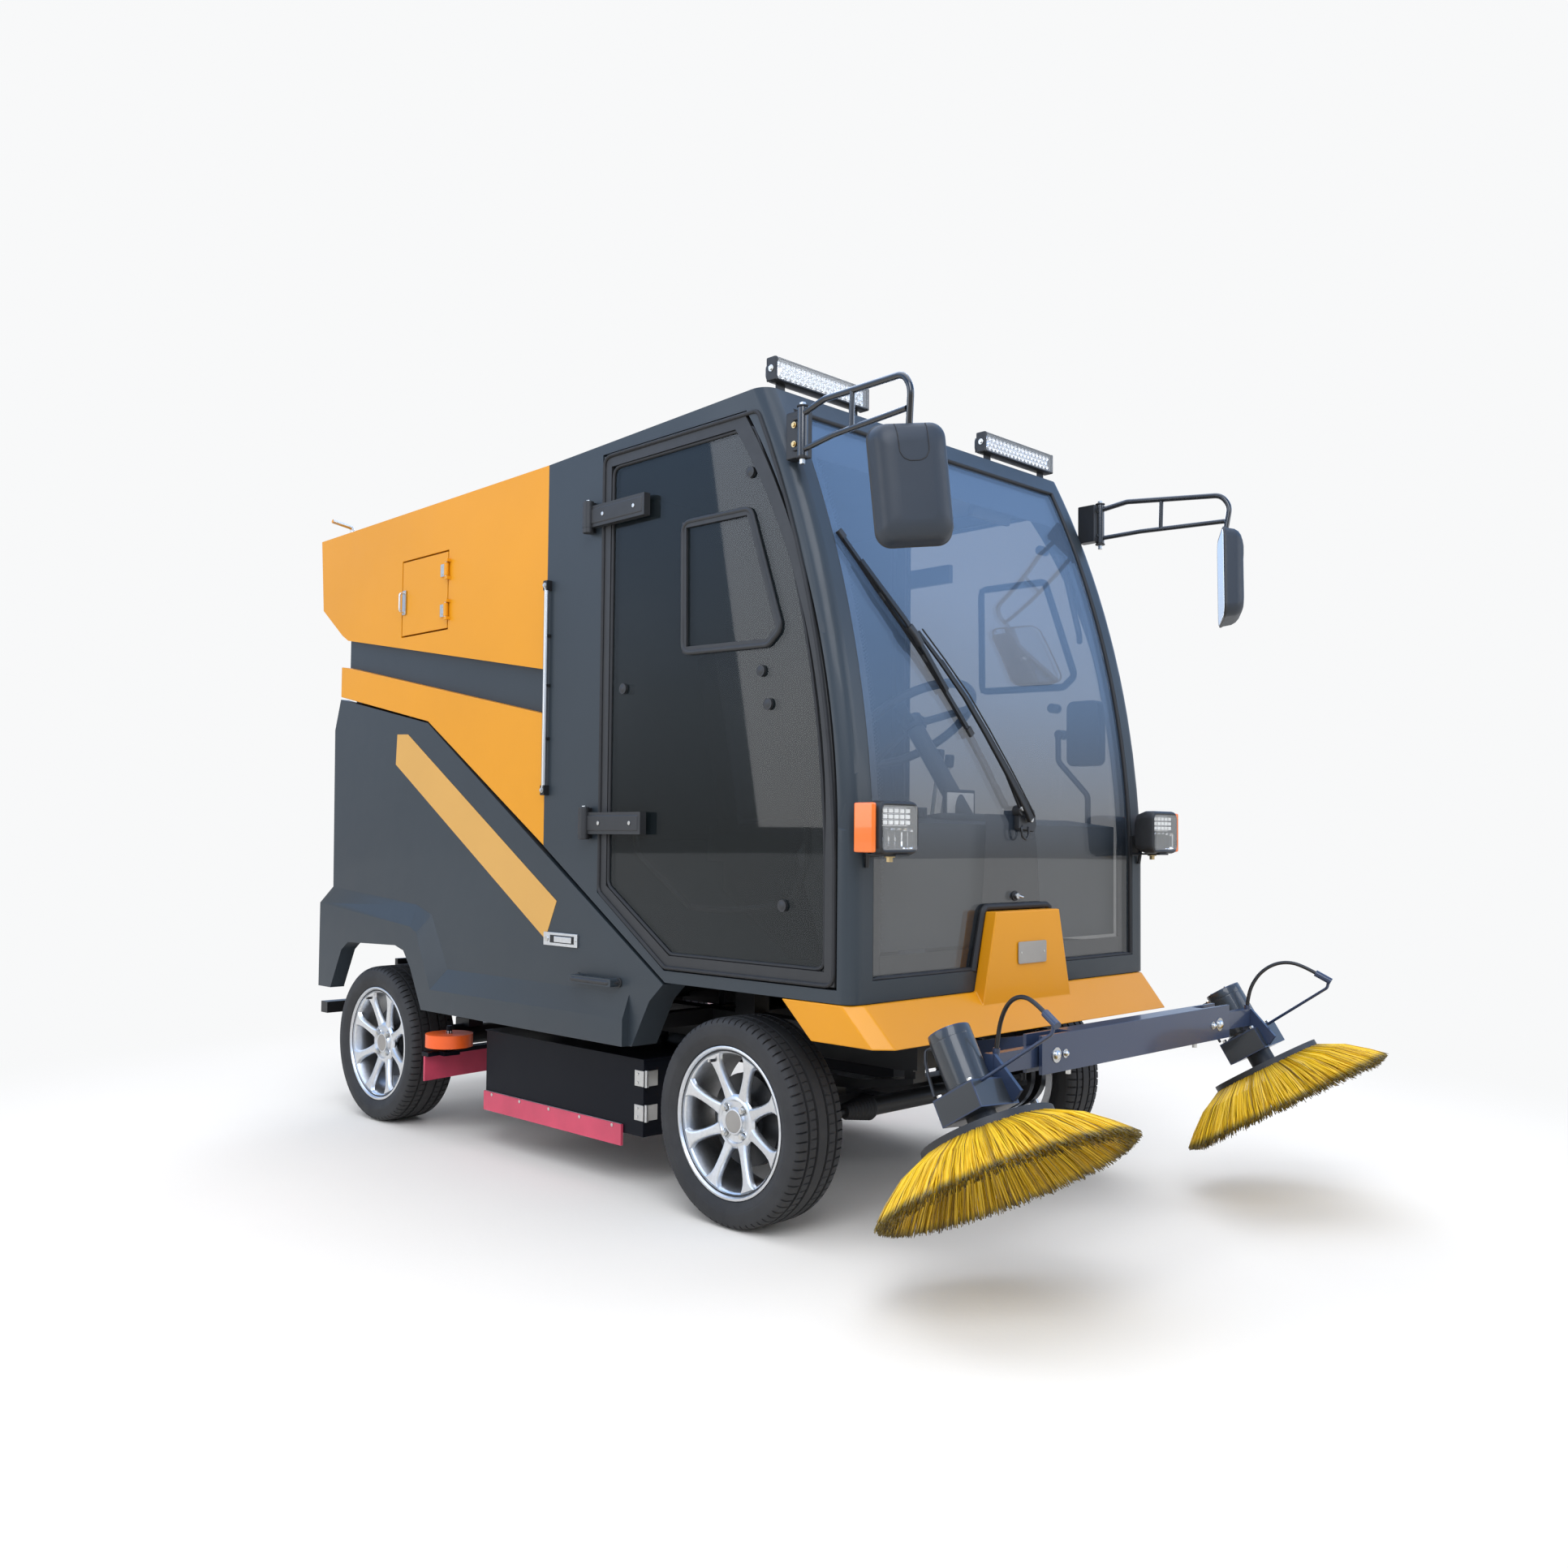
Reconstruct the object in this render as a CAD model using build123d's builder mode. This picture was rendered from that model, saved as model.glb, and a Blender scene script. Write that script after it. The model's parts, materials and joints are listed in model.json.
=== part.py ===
# Compact road sweeper: a one-seat cab, a rear body with hopper and tank,
# two side brushes on a front beam, and a scrubbing deck between the axles.
# Millimetres. +X is the vehicle's left, -Y its front, +Z up, wheels on z = 0.
# Stations (s) are distances behind the front axle.
import os
from math import cos, radians, sin, sqrt, tan
from build123d import *

os.makedirs("parts", exist_ok=True)

# ---- Driving dimensions -------------------------------------------------
WHEELBASE = 1811
FRONT_AXLE_Y = -610          # puts the origin below the middle of the whole length
BODY_HALF = 668              # half the width of cab and rear body
SHEET = 20                   # body walls
SEAT_GAP = 0.3               # between round pieces that seat on each other
RUN_GAP = 6                  # between pieces that move past each other

TYRE_RADIUS = 268
TYRE_WIDTH = 172
WHEEL_FACE = BODY_HALF + 6   # outer face of the tyres
RIM_RADIUS = 195             # 14-inch rim, over its flange
RIM_BARREL = 180
RIM_WALL = 8
SPOKES = 8
SPOKE_WIDTH = 28
HUB_RADIUS = 60
LUG_CIRCLE = 42
LUGS = 4

RAIL_X = 290                 # frame rails
RAIL_WIDTH = 60
RAIL_BOTTOM = 400
RAIL_HEIGHT = 90
RAIL_FRONT = -330
RAIL_REAR = WHEELBASE + 479
REAR_BAR_HALF = 600
REAR_BAR = (49, 42)          # depth and height of its section
REAR_BAR_Z = 341
BAR_HOLES = 400              # between the bar's two bolt holes
BAR_HOLE_RADIUS = 9

KINGPIN_X = 470
KNUCKLE_HALF = 84
RACK_S = -110                # steering rack ahead of the axle
AXLE_TUBE = 38

CAB_REAR = 820
CAB_BOTTOM = 606
CAB_ROOF = 2155
ROOF_REAR = CAB_ROOF - 32
CAB_WALL = 45
SCREEN_TOP_S = -117
SCREEN_BULGE = (-330, 1610)  # a point on the windscreen's curve, seen from the side
KNEE = (-427, 950)           # where the curve runs into the upright front
SCREEN_HALF = BODY_HALF - 78
SCREEN_FOOT = 659
SCREEN_HEAD = CAB_ROOF - 50
GLASS = 8
GLASS_INSET = 10
SEAM_LOW = (248, 609)        # diagonal seam between cab and side panel
SEAM_HIGH = (826, 969)
PILLAR_ROUND = 42

DOOR_THICK = 28
DOOR_RING = 34
DOOR_GAP = 7
HINGE_S = 590
HINGE_X = BODY_HALF + 22
HINGE_PIN = 7
HINGE_HEIGHTS = (1036, CAB_ROOF - 233)
HINGE_HALF = 44
HINGE_REACH = 336            # station of the arm's front end

TANK_REAR = WHEELBASE + 484
BODY_REAR = WHEELBASE + 306
WAIST_INSET = 25
FLARE = 24                   # how far the skirt stands out past the side
PANEL_THICK = 30
TAILGATE_HALF = BODY_HALF - 120
TAILGATE_THICK = 40
TAILGATE_BOTTOM = 690
TAILGATE_TOP = 1690

HOPPER_HALF = BODY_HALF - 128
HOPPER_FRONT = 1180
HOPPER_BOTTOM = 650
HOPPER_TOP = 1425

BATTERY = (900, 310, 500)    # width, length, height of its block
BATTERY_S = 860              # station of its front face

BRUSH_X = 651                # middle of a brush's disc
BRUSH_S = -810
BRUSH_Z = 374
BRUSH_LEAN = 31              # degrees, the front edge lifted
BRUSH_SPLAY = 4              # degrees, the outer edge lifted
DISC_RADIUS = 152
DISC_THICK = 16
TIP_RADIUS = 305
BRISTLE_DROP = 124
MOTOR_RADIUS = 49
MOTOR_LENGTH = 135
BRACKET_SIZE = (120, 130, 62)
HUB_HEIGHT = 34
BEAM_S = -784
BEAM_Z = 512
BEAM_HALF = 445
BEAM_SECTION = (52, 88)
BOLT_X = 388
BOLT_Z = 508
BOLT_RADIUS = 8
LIFT_S = -385                # pivot of the beam's lift arms
LIFT_Z = 445
LIFT_X = 150
LIFT_PIN = 12

DECK_X = BODY_HALF - 68      # outer face of the scrubbing deck's boxes
DECK_FRONT = 415
DECK_REAR = 1213
DECK_BOTTOM = 155
DECK_TOP = 369
SKIRT_BOTTOM = 119
DECK_TRAVEL = 110
DECK_POST_X = 225
DECK_POSTS = (500, 770)      # stations of the posts the deck slides on
POST_RADIUS = 12
SQUEEGEE_TRAVEL = 180
SQUEEGEE_POST_X = 110
SQUEEGEE_S = WHEELBASE - 359
SQUEEGEE_BOTTOM = 192
SQUEEGEE_HALF = BODY_HALF + 32
ROLLER_X = BODY_HALF - 44
ROLLER_S = SQUEEGEE_S - 52
ROLLER_Z = 322
ROLLER_RADIUS = 77
ROLLER_THICK = 42
ROLLER_PIN = 9

MIRROR_S = -648
MIRROR_X = BODY_HALF + 60
MIRROR_Z = CAB_ROOF - 367
MIRROR_SIZE = (186, 62, 284)
LAMP_X = BODY_HALF - 47
LAMP_S = -530
LAMP_Z = 1025
WORK_LIGHT_S = -120
WORK_LIGHT_Z = CAB_ROOF + 55
WORK_LIGHT_SPAN = (266, BODY_HALF - 39)

SIDES = (("right", -1), ("left", 1))


# ---- Planes and small helpers -------------------------------------------
def side_plane(x):
    """Upright plane at x, drawn as (station, height), facing +X."""
    return Plane(origin=(x, FRONT_AXLE_Y, 0), x_dir=(0, 1, 0), z_dir=(1, 0, 0))


def cross_plane(s):
    """Upright plane at a station, drawn as (x, height), facing forward."""
    return Plane(origin=(0, FRONT_AXLE_Y + s, 0), x_dir=(1, 0, 0), z_dir=(0, -1, 0))


def level_plane(z):
    """Level plane at a height, drawn as (x, station), facing up."""
    return Plane(origin=(0, FRONT_AXLE_Y, z), x_dir=(1, 0, 0), z_dir=(0, 0, 1))


def at(x, s, z):
    """A place given by its station."""
    return (x, FRONT_AXLE_Y + s, z)


def wheel_plane(side, s):
    """Plane through a wheel's middle, drawn as (distance outboard, radius)."""
    middle = WHEEL_FACE - TYRE_WIDTH / 2
    return Plane(
        origin=at(side * middle, s, TYRE_RADIUS), x_dir=(side, 0, 0), z_dir=(0, -side, 0)
    )


def tube(points, radius, bend=None):
    """Round bar along points, its corners bent to a radius."""
    with BuildLine() as path:
        if bend:
            FilletPolyline(*points, radius=bend)
        else:
            Polyline(*points)
    with BuildSketch(Plane(origin=path.line @ 0, z_dir=path.line % 0)) as section:
        Circle(radius)
    sweep(sections=section.sketch, path=path.line)


def finish(builder, label):
    """Name a finished piece and write it."""
    builder.part.label = label
    export_step(builder.part, f"parts/{label}.step")


# ---- Wheels --------------------------------------------------------------
WHEELS = (
    # name, side, station
    ("front_right", -1, 0),
    ("front_left", 1, 0),
    ("rear_right", -1, WHEELBASE),
    ("rear_left", 1, WHEELBASE),
)
HALF = TYRE_WIDTH / 2
FLANGE_OUT = HALF - 10
FLANGE_IN = FLANGE_OUT - 6


def make_tyre(side, s):
    plane = wheel_plane(side, s)
    bead = FLANGE_IN - SEAT_GAP
    with BuildPart() as tyre:
        with BuildSketch(plane):
            with BuildLine():
                Polyline(
                    (-bead, RIM_BARREL + SEAT_GAP),
                    (-bead, RIM_RADIUS + 2),
                    (-HALF, TYRE_RADIUS - 42),
                    (-HALF + 5, TYRE_RADIUS - 13),
                    (-HALF + 20, TYRE_RADIUS),
                    (HALF - 20, TYRE_RADIUS),
                    (HALF - 5, TYRE_RADIUS - 13),
                    (HALF, TYRE_RADIUS - 42),
                    (bead, RIM_RADIUS + 2),
                    (bead, RIM_BARREL + SEAT_GAP),
                    close=True,
                )
            make_face()
        revolve(axis=Axis(plane.origin, plane.x_dir))
    return tyre


DISH_RIM = HALF - 28         # spokes' outer face at the rim
DISH_HUB = HALF - 40
HUB_BACK = DISH_HUB - 26


def make_rim(side, s):
    plane = wheel_plane(side, s)
    axis = Axis(plane.origin, plane.x_dir)
    inner = RIM_BARREL - RIM_WALL
    window_in = HUB_RADIUS + 8
    window_out = inner - 10
    half_step = radians(180 / SPOKES)
    with BuildPart() as rim:
        with BuildSketch(plane):
            with BuildLine():
                Polyline(
                    (-FLANGE_OUT, inner),
                    (-FLANGE_OUT, RIM_RADIUS),
                    (-FLANGE_IN, RIM_RADIUS),
                    (-FLANGE_IN, RIM_BARREL),
                    (FLANGE_IN, RIM_BARREL),
                    (FLANGE_IN, RIM_RADIUS),
                    (FLANGE_OUT, RIM_RADIUS),
                    (FLANGE_OUT, inner),
                    close=True,
                )
            make_face()
            with BuildLine():
                Polyline(
                    (DISH_RIM, inner + 2),
                    (DISH_HUB, HUB_RADIUS),
                    (DISH_HUB, 0),
                    (HUB_BACK, 0),
                    (HUB_BACK, HUB_RADIUS),
                    (DISH_RIM - 20, inner + 2),
                    close=True,
                )
            make_face()
        revolve(axis=axis)
        face = Plane(
            origin=axis.position + axis.direction * HUB_BACK,
            x_dir=(0, 1, 0),
            z_dir=(side, 0, 0),
        )
        foot = window_in * sin(half_step) - SPOKE_WIDTH / 2 + 6
        head = window_out * sin(half_step) - SPOKE_WIDTH / 2
        shoulder = window_out * cos(half_step) * 1.03
        with BuildSketch(face):
            with PolarLocations(0, SPOKES, start_angle=90 + 180 / SPOKES):
                Polygon(
                    (window_in, -foot),
                    (window_in, foot),
                    (shoulder, head),
                    (window_out, 0),
                    (shoulder, -head),
                    align=None,
                )
        extrude(amount=TYRE_WIDTH / 2, mode=Mode.SUBTRACT)
        with BuildSketch(face.offset(DISH_HUB - HUB_BACK)):
            with PolarLocations(LUG_CIRCLE, LUGS, start_angle=45):
                Circle(10)
        extrude(amount=-10, mode=Mode.SUBTRACT)
        with BuildSketch(face.offset(DISH_HUB - HUB_BACK)):
            Circle(27)
        extrude(amount=6)
    return rim


for name, side, station in WHEELS:
    finish(make_tyre(side, station), f"tyre_{name}")
    finish(make_rim(side, station), f"rim_{name}")

# ---- Chassis ---------------------------------------------------------------
RAIL_TOP = RAIL_BOTTOM + RAIL_HEIGHT
CROSS_STATIONS = (-290, 420, 1240, 2240)
MOUNT_STATIONS = (-240, 300)
with BuildPart() as chassis_frame:
    with BuildSketch(cross_plane(RAIL_REAR)):
        with Locations((-RAIL_X, RAIL_BOTTOM + RAIL_HEIGHT / 2), (RAIL_X, RAIL_BOTTOM + RAIL_HEIGHT / 2)):
            Rectangle(RAIL_WIDTH, RAIL_HEIGHT)
    extrude(amount=RAIL_REAR - RAIL_FRONT)
    with Locations([at(0, s, RAIL_BOTTOM + RAIL_HEIGHT / 2) for s in CROSS_STATIONS]):
        Box(2 * RAIL_X, 60, 60)
    mount_z = (RAIL_TOP + CAB_BOTTOM) / 2
    with Locations([at(x, s, mount_z) for x in (-RAIL_X, RAIL_X) for s in MOUNT_STATIONS]):
        Box(RAIL_WIDTH, 80, CAB_BOTTOM - RAIL_TOP)
    with Locations([at(x, RAIL_REAR + 8, (REAR_BAR_Z + RAIL_TOP) / 2) for x in (-RAIL_X, RAIL_X)]):
        Box(RAIL_WIDTH, 20, RAIL_TOP - REAR_BAR_Z + REAR_BAR[1])
    with Locations(at(0, RAIL_REAR + 17 + REAR_BAR[0] / 2, REAR_BAR_Z)):
        Box(2 * REAR_BAR_HALF, *REAR_BAR)
    with BuildSketch(cross_plane(RAIL_REAR)):
        with Locations((-BAR_HOLES / 2, REAR_BAR_Z), (BAR_HOLES / 2, REAR_BAR_Z)):
            Circle(BAR_HOLE_RADIUS)
    extrude(amount=-100, mode=Mode.SUBTRACT)
    # sleeves that guide the scrubbing deck's posts, and the squeegee's cross member
    sleeve_z = RAIL_BOTTOM + RAIL_HEIGHT / 2
    with Locations([at(x, s, sleeve_z) for x in (-DECK_POST_X, DECK_POST_X) for s in DECK_POSTS]):
        Box(RAIL_X - RAIL_WIDTH / 2 - DECK_POST_X + 60, 60, RAIL_HEIGHT)
    with Locations(at(0, SQUEEGEE_S, sleeve_z)):
        Box(2 * RAIL_X, 60, 60)
    guides = [(x, s) for x in (-DECK_POST_X, DECK_POST_X) for s in DECK_POSTS]
    guides += [(-SQUEEGEE_POST_X, SQUEEGEE_S), (SQUEEGEE_POST_X, SQUEEGEE_S)]
    with Locations([at(x, s, sleeve_z) for x, s in guides]):
        Cylinder(POST_RADIUS + SEAT_GAP, 2 * RAIL_HEIGHT, mode=Mode.SUBTRACT)
    # front plate and ears that carry the brush beam's pivot pin
    with BuildSketch(side_plane(-LIFT_X - 40)):
        with Locations((LIFT_S, LIFT_Z)):
            Circle(LIFT_PIN)
    extrude(amount=2 * (LIFT_X + 40))
    for x in (-LIFT_X - 30, -LIFT_X + 30, LIFT_X - 30, LIFT_X + 30):
        with Locations(at(x, (LIFT_S - 20 + RAIL_FRONT) / 2, LIFT_Z)):
            Box(10, RAIL_FRONT - LIFT_S + 20, 60)
    with Locations(at(0, RAIL_FRONT - 7, LIFT_Z)):
        Box(2 * RAIL_X + RAIL_WIDTH, 14, 80)
finish(chassis_frame, "chassis_frame")

# Front axle: beam with yokes, hung on leaf springs, and the hollow steering rack.
YOKE_IN = KINGPIN_X - 56      # leaves the steering arm room to swing
YOKE_OUT = KINGPIN_X + 24
YOKE_WIDTH = 56
with BuildPart() as front_axle:
    with Locations(at(0, 0, TYRE_RADIUS)):
        Box(2 * YOKE_IN, 60, 56)
    for side in (-1, 1):
        with Locations(at(side * (YOKE_IN + 9), 0, TYRE_RADIUS)):
            Box(18, YOKE_WIDTH, 2 * KNUCKLE_HALF + 40)
        lug_z = KNUCKLE_HALF + 10 + SEAT_GAP
        for up in (-1, 1):
            with Locations(at(side * (YOKE_IN + YOKE_OUT) / 2, 0, TYRE_RADIUS + up * lug_z)):
                Box(YOKE_OUT - YOKE_IN, YOKE_WIDTH, 20)
    with Locations([at(x, 0, TYRE_RADIUS + 28 + 15) for x in (-RAIL_X, RAIL_X)]):
        Box(60, 90, 30)
finish(front_axle, "front_axle")

SPRING_Z = TYRE_RADIUS + 58
SPRING_HALF = 330            # half its length
SPRING_RISE = 44
SPRING_WIDTH = 56
with BuildPart() as leaf_springs:
    for s_axle in (0, WHEELBASE):
        front_end = s_axle - SPRING_HALF
        rear_end = s_axle + SPRING_HALF
        for x in (-RAIL_X, RAIL_X):
            with BuildSketch(side_plane(x - SPRING_WIDTH / 2)):
                with BuildLine():
                    low = ThreePointArc(
                        (front_end, SPRING_Z + SPRING_RISE),
                        (s_axle, SPRING_Z),
                        (rear_end, SPRING_Z + SPRING_RISE),
                    )
                    Polyline(
                        low @ 1,
                        (rear_end, SPRING_Z + SPRING_RISE + 12),
                        (s_axle + 150, SPRING_Z + 32),
                        (s_axle - 150, SPRING_Z + 32),
                        (front_end, SPRING_Z + SPRING_RISE + 12),
                        low @ 0,
                    )
                make_face()
            extrude(amount=SPRING_WIDTH)
            hanger = RAIL_BOTTOM - SPRING_Z - SPRING_RISE
            with Locations([at(x, s, RAIL_BOTTOM - hanger / 2) for s in (front_end + 18, rear_end - 18)]):
                Box(SPRING_WIDTH - 16, 36, hanger)
finish(leaf_springs, "leaf_springs")

DRIVE_RADIUS = 115           # differential housing
MOTOR_CASE = (85, 240)       # radius and length of the drive motor
BRAKE_RADIUS = 118
BRAKE_WIDTH = 60
with BuildPart() as rear_axle:
    tube_end = WHEEL_FACE - TYRE_WIDTH / 2 + HUB_BACK - SEAT_GAP
    brake_in = WHEEL_FACE - TYRE_WIDTH + 30
    profile = Plane(origin=at(0, WHEELBASE, TYRE_RADIUS), x_dir=(1, 0, 0), z_dir=(0, -1, 0))
    # one turned form: axle tubes, brake drums and the housing between them
    with BuildSketch(profile):
        with BuildLine():
            Polyline(
                (-tube_end, 0),
                (-tube_end, AXLE_TUBE),
                (-brake_in - BRAKE_WIDTH, AXLE_TUBE),
                (-brake_in - BRAKE_WIDTH, BRAKE_RADIUS),
                (-brake_in, BRAKE_RADIUS),
                (-brake_in, AXLE_TUBE),
                (-DRIVE_RADIUS - 15, AXLE_TUBE),
                (-DRIVE_RADIUS / 2, DRIVE_RADIUS),
                (DRIVE_RADIUS / 2, DRIVE_RADIUS),
                (DRIVE_RADIUS + 15, AXLE_TUBE),
                (brake_in, AXLE_TUBE),
                (brake_in, BRAKE_RADIUS),
                (brake_in + BRAKE_WIDTH, BRAKE_RADIUS),
                (brake_in + BRAKE_WIDTH, AXLE_TUBE),
                (tube_end, AXLE_TUBE),
                (tube_end, 0),
                close=True,
            )
        make_face()
    revolve(axis=Axis(profile.origin, profile.x_dir))
    with Locations(at(0, WHEELBASE - 60 - MOTOR_CASE[1] / 2, TYRE_RADIUS)):
        Cylinder(*MOTOR_CASE, rotation=(90, 0, 0))
    with Locations([at(x, WHEELBASE, TYRE_RADIUS + 44) for x in (-RAIL_X, RAIL_X)]):
        Box(60, 90, 28)
finish(rear_axle, "rear_axle")

RACK_Z = TYRE_RADIUS + 2
ROD_RADIUS = 9
with BuildPart() as steering_rack:
    with BuildSketch(side_plane(-240)):
        with Locations((RACK_S, RACK_Z)):
            Circle(26)
    extrude(amount=480)
    for side in (-1, 1):
        plane = Plane(origin=at(side * 240, RACK_S, RACK_Z), x_dir=(side, 0, 0), z_dir=(0, -side, 0))
        with BuildSketch(plane):
            with BuildLine():
                Polyline((0, 0), (0, 33), (100, 18), (100, 0), close=True)
            make_face()
        revolve(axis=Axis(plane.origin, plane.x_dir))
    with Locations([at(x, (RACK_S - 30) / 2, RACK_Z) for x in (-160, 160)]):
        Box(50, -RACK_S - 30, 40)
    with BuildSketch(side_plane(-360)):
        with Locations((RACK_S, RACK_Z)):
            Circle(ROD_RADIUS + 3)
    extrude(amount=720, mode=Mode.SUBTRACT)
finish(steering_rack, "steering_rack")

with BuildPart() as tie_rod:
    with BuildSketch(side_plane(-KINGPIN_X)):
        with Locations((RACK_S, RACK_Z)):
            Circle(ROD_RADIUS)
    extrude(amount=2 * KINGPIN_X)
    with Locations([at(x, RACK_S, RACK_Z) for x in (-KINGPIN_X, KINGPIN_X)]):
        Cylinder(15, 22)
finish(tie_rod, "tie_rod")


def make_knuckle(side):
    hub_start = WHEEL_FACE - TYRE_WIDTH / 2
    with BuildPart() as knuckle:
        with Locations(at(side * KINGPIN_X, 0, TYRE_RADIUS)):
            Cylinder(19, 2 * KNUCKLE_HALF)
        with BuildSketch(side_plane(side * KINGPIN_X)):
            with Locations((0, TYRE_RADIUS)):
                Circle(26)
        extrude(amount=side * (hub_start + HUB_BACK - SEAT_GAP - KINGPIN_X))
        with BuildSketch(side_plane(side * (KINGPIN_X + 40))):
            with Locations((0, TYRE_RADIUS)):
                Circle(120)
        extrude(amount=side * 22)
        with Locations(at(side * KINGPIN_X, RACK_S / 2, RACK_Z - 11 - SEAT_GAP - 8)):
            Box(26, -RACK_S + 26, 16)
    return knuckle


for name, side in SIDES:
    finish(make_knuckle(side), f"knuckle_{name}")

with BuildPart() as battery_pack:
    with Locations(at(0, BATTERY_S + BATTERY[1] / 2, RAIL_TOP + BATTERY[2] / 2)):
        Box(*BATTERY)
finish(battery_pack, "battery_pack")


# ---- Cab -------------------------------------------------------------------
def circle_centre(a, b, c):
    """Centre of the circle through three points of a plane."""
    d = 2 * (a[0] * (b[1] - c[1]) + b[0] * (c[1] - a[1]) + c[0] * (a[1] - b[1]))
    squares = [p[0] ** 2 + p[1] ** 2 for p in (a, b, c)]
    u = squares[0] * (b[1] - c[1]) + squares[1] * (c[1] - a[1]) + squares[2] * (a[1] - b[1])
    v = squares[0] * (c[0] - b[0]) + squares[1] * (a[0] - c[0]) + squares[2] * (b[0] - a[0])
    return u / d, v / d


def front_station(z):
    """Station of the cab's front line at a height."""
    if z < KNEE[1]:
        return KNEE[0]
    centre = circle_centre((SCREEN_TOP_S, CAB_ROOF), SCREEN_BULGE, KNEE)
    reach = (centre[0] - KNEE[0]) ** 2 + (centre[1] - KNEE[1]) ** 2
    return centre[0] - sqrt(reach - (z - centre[1]) ** 2)


def front_line(inset):
    """The cab's front seen from the side, moved back by inset: curve, then upright."""
    curve = ThreePointArc(
        (SCREEN_TOP_S + inset, CAB_ROOF),
        (SCREEN_BULGE[0] + inset, SCREEN_BULGE[1]),
        (KNEE[0] + inset, KNEE[1]),
    )
    return curve


INNER_FLOOR = CAB_BOTTOM + CAB_WALL - 5
INNER_REAR = CAB_REAR - CAB_WALL
DOOR_REAR = 546
DOOR_HEAD = CAB_ROOF - 60
DOOR_SILL = 645
DOOR_KNEE = (559, 842)       # foot of the door's rear edge
DOOR_FOOT = (250, 645)
DOOR_SETBACK = 52            # from the cab's front line to the door


def door_outline(shrink):
    """Door seen from the side: upright rear edge, sloping foot and curved front."""
    top = DOOR_HEAD - shrink
    sill = DOOR_SILL + shrink
    rear = DOOR_REAR - shrink
    back = DOOR_SETBACK + shrink
    with BuildLine() as line:
        front = ThreePointArc(
            (SCREEN_TOP_S + back + 22, top),
            (SCREEN_BULGE[0] + back, SCREEN_BULGE[1]),
            (KNEE[0] + back, KNEE[1]),
        )
        Polyline(
            front @ 1,
            (KNEE[0] + back, sill),
            (DOOR_FOOT[0] - shrink / 2, sill),
            (rear, DOOR_KNEE[1] + shrink / 2),
            (rear, top),
            front @ 0,
        )
    return line


with BuildPart() as cab_shell:
    with BuildSketch(side_plane(-BODY_HALF)):
        with BuildLine():
            curve = front_line(0)
            Polyline(
                curve @ 1,
                (KNEE[0], CAB_BOTTOM),
                (SEAM_LOW[0], CAB_BOTTOM),
                (CAB_REAR, SEAM_HIGH[1]),
                (CAB_REAR, ROOF_REAR),
                curve @ 0,
            )
        make_face()
    extrude(amount=2 * BODY_HALF)
    side_faces = cab_shell.faces().sort_by(Axis.X)
    front_edges = [
        edge
        for edge in side_faces[0].edges() + side_faces[-1].edges()
        if edge.center().Y < FRONT_AXLE_Y + SCREEN_TOP_S and edge.center().Z > CAB_BOTTOM + 10
    ]
    fillet(front_edges, radius=PILLAR_ROUND)
    with BuildSketch(side_plane(-BODY_HALF + CAB_WALL)):
        with BuildLine():
            curve = ThreePointArc(
                (SCREEN_TOP_S + CAB_WALL, CAB_ROOF - CAB_WALL),
                (SCREEN_BULGE[0] + CAB_WALL, SCREEN_BULGE[1]),
                (KNEE[0] + CAB_WALL, KNEE[1]),
            )
            Polyline(
                curve @ 1,
                (KNEE[0] + CAB_WALL, INNER_FLOOR),
                (SEAM_LOW[0] - CAB_WALL / 2, INNER_FLOOR),
                (INNER_REAR, SEAM_HIGH[1] + CAB_WALL / 2),
                (INNER_REAR, ROOF_REAR - CAB_WALL),
                curve @ 0,
            )
        make_face()
    extrude(amount=2 * (BODY_HALF - CAB_WALL), mode=Mode.SUBTRACT)
    for side in (-1, 1):
        with BuildSketch(side_plane(side * (BODY_HALF + 10))):
            make_face(door_outline(-DOOR_GAP).edges())
        extrude(amount=-side * (CAB_WALL + 12), mode=Mode.SUBTRACT)
    with BuildSketch(cross_plane(SCREEN_TOP_S + CAB_WALL)):
        with BuildLine():
            Polyline(
                (-SCREEN_HALF, SCREEN_FOOT),
                (SCREEN_HALF, SCREEN_FOOT),
                (SCREEN_HALF, SCREEN_HEAD),
                (-SCREEN_HALF, SCREEN_HEAD),
                close=True,
            )
        make_face()
    extrude(amount=500, mode=Mode.SUBTRACT)
finish(cab_shell, "cab_shell")

with BuildPart() as windshield:
    with BuildSketch(side_plane(-SCREEN_HALF + SEAT_GAP)):
        with BuildLine():
            outer = front_line(GLASS_INSET)
            inner = front_line(GLASS_INSET + GLASS)
            Line(outer @ 0, inner @ 0)
            Polyline(
                outer @ 1,
                (KNEE[0] + GLASS_INSET, SCREEN_FOOT + SEAT_GAP),
                (KNEE[0] + GLASS_INSET + GLASS, SCREEN_FOOT + SEAT_GAP),
                inner @ 1,
            )
        make_face()
    extrude(amount=2 * (SCREEN_HALF - SEAT_GAP))
    with BuildSketch(cross_plane(CAB_REAR)):
        with Locations((0, (CAB_ROOF + SCREEN_HEAD) / 2 + 20)):
            Rectangle(2 * BODY_HALF, CAB_ROOF - SCREEN_HEAD + 40 + 2 * SEAT_GAP)
    extrude(amount=2 * CAB_REAR, mode=Mode.SUBTRACT)
finish(windshield, "windshield")

# Windscreen wiper: spindle box, arm and blade on the glass.
WIPER_PIVOT = (40, 1054)
WIPER_ARM = ((40, 1054), (-200, 1369), (-345, 1528))    # (x, height) over the glass
WIPER_BLADE = ((-565, 1768), (-455, 1622), (-330, 1475), (-185, 1290))
BLADE_RADIUS = 7
ARM_STAND = 30               # arm's height over the glass
BOW = 1.8                    # the glass bulges this much between two points of the blade


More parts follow.
